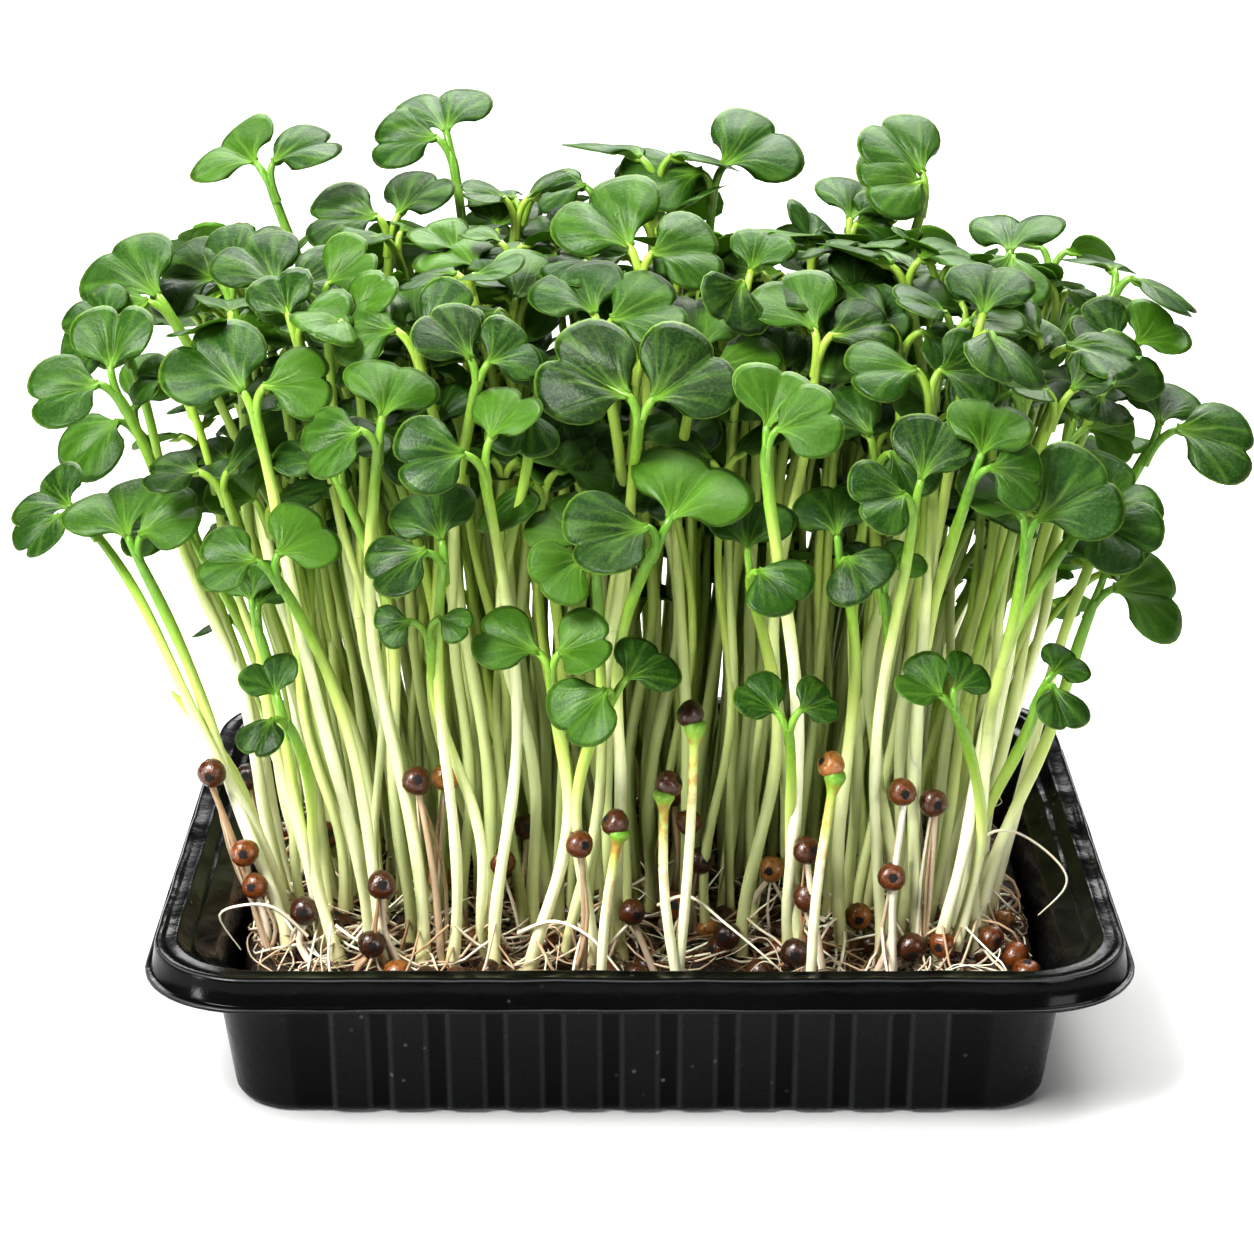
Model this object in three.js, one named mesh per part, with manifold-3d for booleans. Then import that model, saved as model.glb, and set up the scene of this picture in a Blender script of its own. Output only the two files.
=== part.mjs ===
// Radish microgreens in their growing tray.
//
// A black thermoformed tray holds a fibre growing mat. The seedlings' roots have knitted into one pale
// layer over the mat, and the bare stems rise from it. Round brown seed hulls lie on the mat, in openings
// of the root layer and along its edge. Each stem ends in a green top with two notched seed leaves.
//
// Millimetres, +Z up. The origin is the middle of the tray's flat underside; the long side runs along X,
// and the front looks towards -Y.

import * as THREE from "three";
import { mergeVertices } from "three/addons/utils/BufferGeometryUtils.js";
import Module from "manifold-3d";

const wasm = await Module();
wasm.setup();

// ---------------------------------------------------------------------------------------------------
// Driving dimensions

const TRAY = {
  halfWidth: 80, // to the outside of the rim's lip
  halfDepth: 63,
  height: 30,
  cornerRadius: 18, // of the lip, seen from above
  cornerShrink: 0.6, // how fast the corners tighten towards the floor
  cornerSteps: 4,
  sheet: 0.9, // wall thickness
};
const RIM = {
  lipHeight: 0.7,
  lipReach: 0.9, // how far the lip stands out from the skirt's foot
  skirtHeight: 5.2,
  topInset: 1.8, // from the lip to the skirt's upper end
  topWidth: 3.2,
  edgeWidth: 0.8, // of the top's bevelled outer edge
  edgeDrop: 1.2, // how far the top's edges fall
  innerSlope: 1.4, // width of the slope inside the flat top
  ledgeDrop: 2, // from the top to the step inside the tray
  ledgeWidth: 1.5,
};
const WALL = {
  topZ: 25.4,
  topInset: 10.2, // from the lip to the wall's outer face, under the rim
  footInset: 13.4,
  footRadius: 2.6,
};
const FLUTE = {
  pitch: 9.35,
  width: 5.8,
  proud: 0.7,
  sunk: 0.5,
  bevel: 0.5,
  taper: 0.3, // how much narrower it is at its foot, on each side
  onLongSide: 11,
  onShortSide: 8,
};

const GAP = 0.3; // between pieces that touch
const MAT = { topZ: 18.2, clearance: 0.8 };
const ROOTS = { bottomZ: 18.5, topZ: 20.3, halfWidth: 63, halfDepth: 46.5, wave: 1.3, steps: 36, power: 5 };
const HULLS = {
  radius: 2.4,
  sunk: 0.9, // into the mat
  window: 6, // radius of the root layer's opening round a pair of hulls
  sides: 6,
  spacing: 15.5,
  tries: 700,
  halfWidth: 56, // of the field they are spread over
  halfDepth: 40,
  edgePitch: 30, // along the root layer's edge
  edgeShift: 4,
  edgeStart: 15,
  edgeEnd: 9,
};

const STEM = {
  footRadius: 1.5,
  radius: 1.15,
  tipRadius: 0.95,
  sides: 4,
  greenBelowMeet: 9,
  footSlope: 0.6, // against the straight line to the place where it meets its neighbour
  tipSlope: 1.3,
  sunk: 1, // into the root layer
};
const BED_Z = ROOTS.topZ;
// Where a pair's stems touch.
const MEET = { belowTip: 24, lowest: 44, highest: 86, apart: 0.5, lean: 1.4, reachStep: 0.12 };
const CROWD = {
  pairs: 16,
  candidates: 40,
  halfWidth: 58,
  halfDepth: 41,
  apart: 7, // between the feet of a pair
  footWeight: 1.8,
  middleZ: 126,
  sideDrop: 12,
  spread: 9,
  fanX: 0.34,
  fanY: 0.3,
  shift: 3,
  sizes: [0.85, 1.1],
  turnDepth: 80, // over this depth the leaves turn from facing front to facing back
};
const LEAF = {
  length: 10.2,
  halfWidth: 6.9,
  petiole: 5.4,
  petioleHalfWidth: 0.65,
  petioleHalfThickness: 0.5,
  halfThickness: 0.42, // at the middle of the blade
  midBlade: 0.45,
  droop: 0.14,
  cup: [-0.1, 0.22],
  secondSize: 0.9, // of a pair's smaller leaf
  stalkSpread: 0.85,
  turnWidth: 240, // a leaf this far to the side would lean out by 45 degrees
};
const CLEAR = { stems: 2.9, leafToLeaf: 3.4, leafToStem: 2.9, attempts: 70, nearby: 32, levelStep: 3 };
const SEED = 9;

const COLOURS = { tray: 0x111214, mat: 0x4a2d1a, roots: 0xe9edc9, leaves: 0x3f7a2c };

// The seedlings that stand out: the foremost, the tallest and those that lean furthest, in neighbouring
// pairs. Each has its foot on the bed, its tip, the way its two leaves point as seen from the front
// (0 right, 90 up), its leaves' size, and how far they face the front (0 is level).
const seedling = (foot, tip, angles, size = 1, facing = 0.8) => ({ foot, tip, angles, size, facing });
const LEADING = [
  // left side, from the back to the front
  [seedling([-46, 28], [-64, 32, 137], [135, 30]), seedling([-39, 27], [-43, 30, 128], [175, 50])],
  [seedling([-56, -2], [-77, -4, 123], [130, 195], 1.1), seedling([-51, 4], [-68, 6, 123], [160, 70])],
  [seedling([-41, -10], [-57, -9, 125], [125, 20]), seedling([-36, -14], [-51, -15, 127], [65, 200])],
  [seedling([-60, -9], [-84, -10, 119], [180, 80]), seedling([-60, -15], [-84, -20, 114], [200, 95])],
  [seedling([-59, 4], [-75, -2, 83], [160, 70], 0.9), seedling([-60, 9], [-85, 4, 101], [215, 60])],
  [seedling([-60, -21], [-91, -16, 91], [140, 225], 0.85), seedling([-59, -27], [-81, -27, 89], [115, 20])],
  [seedling([-45, -29], [-60, -37, 116], [135, 10]), seedling([-42, -35], [-57, -45, 92], [95, 200])],
  [
    seedling([-50, -33], [-56, -44, 67], [115, 245], 0.6),
    seedling([-53, -28], [-61, -36, 80], [90, 20], 0.7),
  ],
  // front row, from left to right
  [seedling([-36, -33], [-40, -45, 113], [105, 215]), seedling([-38, -26], [-47, -37, 104], [165, 60], 0.85)],
  [seedling([-30, -20], [-35, -31, 124], [195, 45]), seedling([-25, -23], [-25, -38, 121], [130, 35])],
  [seedling([-24, -35], [-24, -47, 110], [120, 20], 1.15), seedling([-17, -27], [-17, -34, 113], [50, 200])],
  [
    seedling([-31, -34], [-30, -49, 95], [110, 210], 0.9),
    seedling([-26, -31], [-33, -49, 84], [225, 30], 0.6),
  ],
  [seedling([-18, -36], [-14, -49, 78], [160, 10], 0.8), seedling([-8, -35], [-4, -51, 74], [215, 45], 0.9)],
  [seedling([-12, -30], [-7, -42, 92], [65, 170], 1.1), seedling([-3, -32], [3, -47, 98], [60, 200], 1.1)],
  [seedling([-4, -26], [0, -42, 116], [150, 40], 1.1), seedling([-6, -17], [-6, -28, 125], [120, 20])],
  [seedling([2, -12], [0, -18, 133], [125, 10], 1.1), seedling([8, -20], [9, -28, 118], [92, 5])],
  [seedling([25, -33], [19, -47, 113], [100, 15]), seedling([27, -35], [23, -50, 68], [140, 30], 0.6)],
  [seedling([17, -30], [17, -43, 91], [130, 0], 0.95), seedling([26, -18], [28, -26, 122], [125, 25])],
  [seedling([34, -29], [31, -43, 93], [110, -20]), seedling([35, -24], [37, -35, 107], [150, -30], 0.9)],
  [seedling([40, -34], [42, -46, 103], [75, 170], 1.1), seedling([41, -28], [38, -40, 87], [165, 5], 0.7)],
  // right side, from the front to the back
  [seedling([44, -24], [45, -32, 118], [120, -10], 1.1), seedling([46, -33], [51, -46, 108], [95, 15])],
  [seedling([49, -34], [60, -42, 97], [45, 140], 1.2), seedling([52, -28], [70, -29, 94], [40, -40])],
  [seedling([52, -33], [49, -46, 70], [150, 55], 0.6), seedling([56, -30], [64, -38, 70], [5, 120], 0.85)],
  [seedling([58, -22], [74, -24, 80], [5, 95], 1.1), seedling([60, -14], [84, -12, 103], [-10, 80])],
  [seedling([52, -18], [61, -20, 112], [75, 190]), seedling([56, -12], [70, -13, 104], [60, -20])],
  [seedling([57, 2], [79, 4, 125], [-20, 110], 0.95, 0.2), seedling([60, -5], [79, -4, 114], [25, 120], 0.9)],
  [seedling([50, 8], [61, 8, 127], [40, 215], 1.2), seedling([42, -4], [43, -7, 129], [160, 20], 1, 0.05)],
  // back, from right to left
  [seedling([44, 30], [50, 34, 134], [130, 200]), seedling([36, 26], [36, 26, 128], [80, 20])],
  [seedling([22, 8], [17, 6, 130], [160, 20], 1, 0.05), seedling([27, 14], [26, 14, 122], [60, 230])],
  [seedling([7, 31], [3, 35, 137], [145, 10], 1.05, 0.1), seedling([14, 33], [13, 37, 135], [35, 190], 1.2)],
  [seedling([-5, 35], [-7, 41, 131], [110, -10]), seedling([-10, 26], [-12, 23, 125], [80, 200])],
  [seedling([-24, 34], [-33, 42, 140], [100, 175]), seedling([-17, 31], [-20, 36, 130], [170, 20], 1, 0.05)],
];

// ---------------------------------------------------------------------------------------------------
// Helpers

// Draws evenly spread numbers from a seed, the same ones on every run.
function seededDraw(seed) {
  let state = seed >>> 0;
  return (low, high) => {
    state = (state + 0x6d2b79f5) >>> 0;
    let mixed = Math.imul(state ^ (state >>> 15), 1 | state);
    mixed = (mixed + Math.imul(mixed ^ (mixed >>> 7), 61 | mixed)) ^ mixed;
    return low + ((high - low) * ((mixed ^ (mixed >>> 14)) >>> 0)) / 4294967296;
  };
}

const plus = (a, b, times = 1) => a.map((value, axis) => value + times * b[axis]);
const unit = (a) => a.map((value) => value / Math.hypot(...a));
const cross = (a, b) => [a[1] * b[2] - a[2] * b[1], a[2] * b[0] - a[0] * b[2], a[0] * b[1] - a[1] * b[0]];
const mix = (a, b, share) => a + share * (b - a);

// A closed triangle mesh as a solid that can be joined and cut.
function solidFrom(points, triangles) {
  return new wasm.Manifold(
    new wasm.Mesh({
      numProp: 3,
      vertProperties: new Float32Array(points.flat()),
      triVerts: new Uint32Array(triangles.flat()),
    }),
  );
}

function solidFromGeometry(geometry) {
  geometry.deleteAttribute("normal");
  geometry.deleteAttribute("uv");
  const merged = mergeVertices(geometry, 1e-4);
  return new wasm.Manifold(
    new wasm.Mesh({
      numProp: 3,
      vertProperties: merged.attributes.position.array,
      triVerts: new Uint32Array(merged.index.array),
    }),
  );
}

function meshOf(name, solid, material) {
  const { numProp, numVert, vertProperties, triVerts } = solid.getMesh();
  const positions = new Float32Array(numVert * 3);
  for (let i = 0; i < numVert; i++) {
    positions.set(vertProperties.subarray(i * numProp, i * numProp + 3), i * 3);
  }
  const geometry = new THREE.BufferGeometry()
    .setAttribute("position", new THREE.BufferAttribute(positions, 3))
    .setIndex(new THREE.BufferAttribute(new Uint32Array(triVerts), 1));
  const mesh = new THREE.Mesh(geometry, material);
  mesh.name = name;
  return mesh;
}

// Joins rings of equally many points, listed from the bottom up and counter-clockwise from above, into
// one closed solid with flat or gently domed ends.
function loft(rings) {
  const count = rings[0].length;
  const points = rings.flat();
  const triangles = [];
  for (let ring = 0; ring + 1 < rings.length; ring++) {
    for (let i = 0; i < count; i++) {
      const a = ring * count + i;
      const b = ring * count + ((i + 1) % count);
      triangles.push([a, b, b + count], [a, b + count, a + count]);
    }
  }
  const top = (rings.length - 1) * count;
  for (let i = 1; i + 1 < count; i++) {
    triangles.push([0, i + 1, i], [top, top + i, top + i + 1]);
  }
  return solidFrom(points, triangles);
}

// ---------------------------------------------------------------------------------------------------
// Tray

// The tray's plan at height z, `inset` inside the lip's outline: a rounded oblong.
function trayRing(inset, z) {
  const radius = TRAY.cornerRadius - TRAY.cornerShrink * inset;
  const points = [];
  [[1, 1], [-1, 1], [-1, -1], [1, -1]].forEach(([sideX, sideY], corner) => {
    const x = sideX * (TRAY.halfWidth - inset - radius);
    const y = sideY * (TRAY.halfDepth - inset - radius);
    for (let step = 0; step <= TRAY.cornerSteps; step++) {
      const angle = (Math.PI / 2) * (corner + step / TRAY.cornerSteps);
      points.push([x + radius * Math.cos(angle), y + radius * Math.sin(angle), z]);
    }
  });
  return points;
}

// How far the wall's outer face lies inside the lip at height z.
function wallInset(z) {
  const share = Math.min(z / WALL.topZ, 1);
  return mix(WALL.footInset, WALL.topInset, share);
}

function makeTray() {
  const { height, sheet } = TRAY;
  const foot = WALL.footRadius;
  const footMiddle = foot * (1 - Math.SQRT1_2);
  const skirtFoot = height - RIM.skirtHeight;
  const edgeZ = height - RIM.edgeDrop;
  const flatInner = RIM.topInset + RIM.topWidth;
  const slopeInner = flatInner + RIM.innerSlope;
  // As [inset, height] pairs.
  const outside = [
    [wallInset(0) + foot, 0],
    [wallInset(foot) + footMiddle, footMiddle],
    [wallInset(foot), foot],
    [WALL.topInset, WALL.topZ],
  ];
  const underRim = [
    [slopeInner + sheet / 2, edgeZ - sheet],
    [flatInner + sheet / 2, height - sheet],
    [RIM.topInset + sheet, height - sheet],
    [RIM.topInset + sheet, edgeZ - sheet / 2],
    [RIM.lipReach + sheet, skirtFoot],
  ];
  const overRim = [
    [0, skirtFoot],
    [0, skirtFoot + RIM.lipHeight],
    [RIM.lipReach, skirtFoot + RIM.lipHeight],
    [RIM.topInset, edgeZ],
    [RIM.topInset + RIM.edgeWidth, height],
    [flatInner, height],
    [slopeInner, edgeZ],
  ];
  const inside = [
    [slopeInner + RIM.ledgeWidth, height - RIM.ledgeDrop],
    [WALL.topInset + sheet, WALL.topZ + 0.1],
    [wallInset(foot + 1) + sheet, foot + 1],
    [wallInset(0) + foot + 0.6, sheet],
  ];
  const section = [...outside, ...underRim, ...overRim, ...inside];
  const shell = loft(section.map(([inset, z]) => trayRing(inset, z)));
  return makeFlutes().reduce((whole, flute) => whole.add(flute), shell);
}

// One raised vertical panel: a slab that leans with its wall. `turn` is the wall it stands on.
function makeFlute(along, turn) {
  const onLongSide = turn % 2 === 1;
  const half = onLongSide ? TRAY.halfDepth : TRAY.halfWidth;
  const angle = (turn * Math.PI) / 2;
  const row = (z, narrow) => {
    const face = half - wallInset(z);
    const reach = FLUTE.width / 2 - narrow;
    return [
      [face - FLUTE.sunk, along - reach],
      [face + FLUTE.proud, along - reach + FLUTE.bevel],
      [face + FLUTE.proud, along + reach - FLUTE.bevel],
      [face - FLUTE.sunk, along + reach],
    ].map(([out, side]) => [
      out * Math.cos(angle) - side * Math.sin(angle),
      out * Math.sin(angle) + side * Math.cos(angle),
      z,
    ]);
  };
  return loft([row(WALL.footRadius + 0.5, FLUTE.taper), row(TRAY.height - RIM.skirtHeight, 0)]);
}

function makeFlutes() {
  const flutes = [];
  for (let turn = 0; turn < 4; turn++) {
    const count = turn % 2 === 1 ? FLUTE.onLongSide : FLUTE.onShortSide;
    for (let i = 0; i < count; i++) {
      flutes.push(makeFlute((i - (count - 1) / 2) * FLUTE.pitch, turn));
    }
  }
  return flutes;
}

// ---------------------------------------------------------------------------------------------------
// Seedlings: where they stand and how they lean

// Where a seedling of the crowd ends: further out than its foot, and lower towards the sides.
function crowdTip(draw, [x, y]) {
  const drop = CROWD.sideDrop * ((x / 60) ** 2 + (y / 60) ** 2);
  const z = CROWD.middleZ - drop + draw(-CROWD.spread, CROWD.spread);
  const shift = () => draw(-CROWD.shift, CROWD.shift);
  return [x * (1 + CROWD.fanX) + shift(), y * (1 + CROWD.fanY) + shift(), z];
}

// The crowd between the leading seedlings: each new pair takes the emptiest of several places.
function planCrowd(draw) {
  const plants = LEADING.flat();
  const pairs = [];
  for (let n = 0; n < CROWD.pairs; n++) {
    let best = null;
    for (let i = 0; i < CROWD.candidates; i++) {
      const x = draw(-CROWD.halfWidth, CROWD.halfWidth);
      const y = draw(-CROWD.halfDepth, CROWD.halfDepth);
      const turn = draw(-Math.PI, Math.PI);
      const [dx, dy] = [(Math.cos(turn) * CROWD.apart) / 2, (Math.sin(turn) * CROWD.apart) / 2];
      const feet = [[x - dx, y - dy], [x + dx, y + dy]];
      const ends = feet.map((foot) => crowdTip(draw, foot));
      const gaps = feet.flatMap((foot, side) =>
        plants.map((plant) => {
          const atFoot = Math.hypot(plant.foot[0] - foot[0], plant.foot[1] - foot[1]);
          const atTip = Math.hypot(plant.tip[0] - ends[side][0], plant.tip[1] - ends[side][1]);
          return Math.min(CROWD.footWeight * atFoot, atTip);
        }),
      );
      const room = Math.min(...gaps);
      if (!best || room > best.room) best = { room, feet, ends };
    }
    const pair = best.feet.map((foot, i) => {
      const angle = draw(0, 360);
      const facing = draw(-0.2, 0.5) - best.ends[i][1] / CROWD.turnDepth;
      const angles = [angle, angle + draw(150, 210)];
      return seedling(foot, best.ends[i], angles, draw(...CROWD.sizes), facing);
    });
    plants.push(...pair);
    pairs.push(pair);
  }
  return pairs;
}

// A smooth curve's value: it leaves `from` at one slope and reaches `to` at another.
function ease(from, to, slopeFrom, slopeTo, length, share) {
  const square = share * share;
  const cube = square * share;
  const bend = (cube - 2 * square + share) * slopeFrom + (cube - square) * slopeTo;
  return from + (3 * square - 2 * cube) * (to - from) + bend * length;
}

// The middle of a stem at height z: up from the foot, past the point where it meets its neighbour, and
// out to the tip.
function stemAt({ foot, tip, meet }, z) {
  const low = meet[2] - BED_Z;
  const high = tip[2] - meet[2];
  const [x, y] = [0, 1].map((axis) => {
    const lower = (meet[axis] - foot[axis]) / low;
    const upper = (tip[axis] - meet[axis]) / high;
    const middle = (lower + upper) / 2;
    return z < meet[2]
      ? ease(foot[axis], meet[axis], STEM.footSlope * lower, middle, low, (z - BED_Z) / low)
      : ease(meet[axis], tip[axis], middle, STEM.tipSlope * upper, high, (z - meet[2]) / high);
  });
  return [x, y, z];
}

// The heights at which a stem has a ring, below and above its change to green.
const paleHeights = ({ meet }) => {
  const top = meet[2] - STEM.greenBelowMeet - GAP / 2;
  return [BED_Z - STEM.sunk, (BED_Z + top) / 2, top];
};
const greenHeights = ({ meet, tip }) => [
  meet[2] - STEM.greenBelowMeet + GAP / 2,
  meet[2],
  (meet[2] + tip[2]) / 2,
  tip[2],
];
const stemCorners = (plant) => [...paleHeights(plant), ...greenHeights(plant)].map((z) => stemAt(plant, z));

// The point at height z of a stem's faceted middle line, or null past its ends.
function cornersAt(corners, z) {
  for (let i = 0; i + 1 < corners.length; i++) {
    const [a, b] = [corners[i], corners[i + 1]];
    if (z < a[2] || z > b[2]) continue;
    const share = (z - a[2]) / (b[2] - a[2]);
    return [mix(a[0], b[0], share), mix(a[1], b[1], share)];
  }
  return null;
}

// How far a point lies from a faceted stem, measured level.
function levelDistance(corners, [x, y, z]) {
  const middle = cornersAt(corners, z);
  return middle ? Math.hypot(x - middle[0], y - middle[1]) : Infinity;
}

// Chooses where each pair meets, trying places until its stems clear all the stems before it.
function planStems(pairs, draw) {
  const standing = [];
  for (const pair of pairs) {
    const lowTip = Math.min(...pair.map((plant) => plant.tip[2]));
    const z = THREE.MathUtils.clamp(lowTip - MEET.belowTip, MEET.lowest, MEET.highest);
    const natural = [0, 1].map((axis) => {
      const places = pair.map(({ foot, tip }) => {
        return mix(foot[axis], tip[axis], ((z - BED_Z) / (tip[2] - BED_Z)) ** MEET.lean);
      });
      return (places[0] + places[1]) / 2;
    });
    const [a, b] = pair.map((plant) => plant.foot);
    const along = Math.atan2(b[1] - a[1], b[0] - a[0]);
    let best = null;
    for (let attempt = 0; attempt < CLEAR.attempts; attempt++) {
      const reach = attempt * MEET.reachStep;
      const x = natural[0] + draw(-reach, reach);
      const y = natural[1] + draw(-reach, reach);
      const meets = [-MEET.apart, MEET.apart].map((side) => {
        return [x + side * Math.cos(along), y + side * Math.sin(along), z];
      });
      const paths = pair.map((plant, i) => stemCorners({ ...plant, meet: meets[i] }));
      let room = Infinity;
      for (const path of paths) {
        const end = path.at(-1)[2];
        const lowest = MEET.lowest - STEM.greenBelowMeet;
        for (let level = lowest; level < end + CLEAR.levelStep; level += CLEAR.levelStep) {
          const height = Math.min(level, end);
          const point = [...cornersAt(path, height), height];
          for (const other of standing) room = Math.min(room, levelDistance(other, point));
        }
      }
      if (!best || room > best.room) best = { room, meets, paths };
      if (room > CLEAR.stems) break;
    }
    pair.forEach((plant, i) => Object.assign(plant, { meet: best.meets[i], corners: best.paths[i] }));
    standing.push(...best.paths);
  }
}

// A leaf's own directions: along its midrib, across it, and out of its upper face. `angle` is the way
// it points as seen by someone whom the face looks at.
function makeLeafFrame(plant, angle, face) {
  const up = unit(face);
  const right = unit(plus([1, 0, 0], up, -up[0]));
  const back = cross(up, right);
  const turn = (angle * Math.PI) / 180;
  const along = right.map((value, axis) => value * Math.cos(turn) + back[axis] * Math.sin(turn));
  const rising = unit(plus(plant.corners.at(-1), plant.corners.at(-2), -1));
  return {
    along,
    across: cross(up, along),
    up,
    stalk: unit(plus(rising, along, LEAF.stalkSpread)),
    start: plant.tip,
    rising,
  };
}

// A point of a leaf's middle surface: `along` runs from 0 at the blade's base to 1 at its lobes' ends,
// `across` from -1 to 1 over its width. Below 0, `along` runs down the leaf stalk to -1.
function leafPoint(leaf, along, across, lift = 0) {
  const { frame, size, cup } = leaf;
  const blade = Math.max(along, 0);
  const bend = cup * LEAF.halfWidth * across * across - LEAF.droop * LEAF.length * blade * blade;
  const stalkEnd = plus(frame.start, frame.stalk, LEAF.petiole * (1 + Math.min(along, 0)));
  const middle = plus(stalkEnd, frame.along, LEAF.length * size * blade);
  const edge = plus(middle, frame.across, LEAF.halfWidth * size * across);
  return plus(edge, frame.up, size * bend + lift);
}

// The places on a leaf that are tested for clearance.
const LEAF_SAMPLES = [[-0.3, 0], [0.1, 0], [0.4, 0], [0.7, 0]];
for (const along of [0.25, 0.55, 0.88]) {
  for (const across of [-0.85, -0.45, 0.45, 0.85]) LEAF_SAMPLES.push([along, across]);
}

// Turns each seedling's leaves, a little further at each try, until they clear all that stands there.
function planLeaves(pairs, draw) {
  const plants = pairs.flat();
  const placed = [];
  for (const plant of plants) {
    const [tipX, tipY] = plant.tip;
    const near = placed.filter((point) => Math.hypot(...plus(point, plant.tip, -1)) < CLEAR.nearby);
    const others = plants.filter((other) => other !== plant).map((other) => other.corners);
    let best = null;
    for (let attempt = 0; attempt < CLEAR.attempts; attempt++) {
      const loose = attempt / CLEAR.attempts;
      const swing = draw(-60, 60) * loose;
      const leaves = plant.angles.map((angle, second) => {
        const face = [
          tipX / LEAF.turnWidth + draw(-0.3, 0.3) * (0.5 + loose),
          tipY > 0 ? 0.2 - plant.facing : draw(-0.2, 0.2) - plant.facing,
          1,
        ];
        return {
          frame: makeLeafFrame(plant, angle + swing + draw(-40, 40) * loose, face),
          size: plant.size * (second ? LEAF.secondSize : 1) * (1 - 0.3 * loose),
          cup: draw(...LEAF.cup),
        };
      });
      const points = leaves.flatMap((leaf) => LEAF_SAMPLES.map((place) => leafPoint(leaf, ...place)));
      let room = Infinity;
      for (const point of points) {
        for (const other of near) {
          room = Math.min(room, Math.hypot(...plus(point, other, -1)) - CLEAR.leafToLeaf);
        }
        for (const corners of others) {
          room = Math.min(room, levelDistance(corners, point) - CLEAR.leafToStem);
        }
      }
      if (!best || room > best.room) best = { room, leaves, points };
      if (room > 0) break;
    }
    plant.leaves = best.leaves;
    placed.push(...best.points);
  }
}

// ---------------------------------------------------------------------------------------------------
// Seedlings: their solids

// A ring of a stem's corners at height z; the first corner lies at `turn`.
function stemRing(plant, z, radius, turn = 0) {
  const [x, y] = stemAt(plant, z);
  return Array.from({ length: STEM.sides }, (_, i) => {
    const angle = turn + (2 * Math.PI * i) / STEM.sides;
    return [x + radius * Math.cos(angle), y + radius * Math.sin(angle), z];
  });
}

// One side of the blade's outline, from its base to the notch between the lobes, as [along, across].
const LEAF_OUTLINE = [[0.14, 0.74], [0.52, 1], [0.88, 0.8], [1, 0.4], [0.78, 0]];

// One seedling's green top as a single skin: the upper stem, which forks into two stalks, each with a
// notched seed leaf that is thickest along its midrib and fine at its edge.
function makeTop(plant) {
  const points = [];
  const triangles = [];
  const add = (point) => points.push(point) - 1;
  const band = (low, high) => {
    low.forEach((a, i) => {
      const next = (i + 1) % low.length;
      triangles.push([a, low[next], high[next]], [a, high[next], high[i]]);
    });
  };
  const [first, second] = plant.leaves;
  const spread = plus(first.frame.across, second.frame.across, -1);
  const turn = Math.atan2(spread[1], spread[0]) - Math.PI / 2;
  const heights = greenHeights(plant);
  const rings = heights.map((z) => {
    const radius = z === plant.tip[2] ? STEM.tipRadius : STEM.radius;
    return stemRing(plant, z, radius, turn).map(add);
  });
  const [a, b, c, d] = rings[0];
  triangles.push([a, c, b], [a, d, c]);
  for (let ring = 0; ring + 1 < rings.length; ring++) band(rings[ring], rings[ring + 1]);
  const [front, left, back, right] = rings.at(-1);
  const saddle = add(plus(plant.tip, first.frame.rising, STEM.tipRadius * 0.6));
  addLeaf(first, [front, left, saddle, right], add, triangles, band);
  addLeaf(second, [back, right, saddle, left], add, triangles, band);
  return solidFrom(points, triangles);
}

// Adds a stalk and its blade to a skin. `fork` holds the corners that the stalk grows from: under, on
// the left, above and on the right.
function addLeaf(leaf, fork, add, triangles, band) {
  const at = (along, across, lift = 0) => add(leafPoint(leaf, along, across, lift));
  const edge = LEAF.petioleHalfWidth / (LEAF.halfWidth * leaf.size);
  const under = at(0, 0, -LEAF.petioleHalfThickness);
  const above = at(0, 0, LEAF.petioleHalfThickness);
  const start = { left: at(0, edge), right: at(0, -edge) };
  band(fork, [under, start.left, above, start.right]);
  const notch = at(...LEAF_OUTLINE.at(-1));
  const outline = (first, side) => [
    first,
    ...LEAF_OUTLINE.slice(0, -1).map(([along, across]) => at(along, side * across)),
    notch,
  ];
  const left = outline(start.left, 1);
  const right = outline(start.right, -1);
  for (const [base, side] of [[above, 1], [under, -1]]) {
    const middle = at(LEAF.midBlade, 0, side * LEAF.halfThickness);
    const fill = (rim, turned) => {
      const face = (i, j, k) => triangles.push(turned ? [i, k, j] : [i, j, k]);
      face(base, rim[1], rim[0]);
      face(base, middle, rim[1]);
      for (let i = 1; i + 1 < rim.length; i++) face(middle, rim[i + 1], rim[i]);
    };
    fill(left, side < 0);
    fill(right, side > 0);
  }
}

// ---------------------------------------------------------------------------------------------------
// Bed: growing mat, seed hulls and the root layer that the stems rise from

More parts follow.
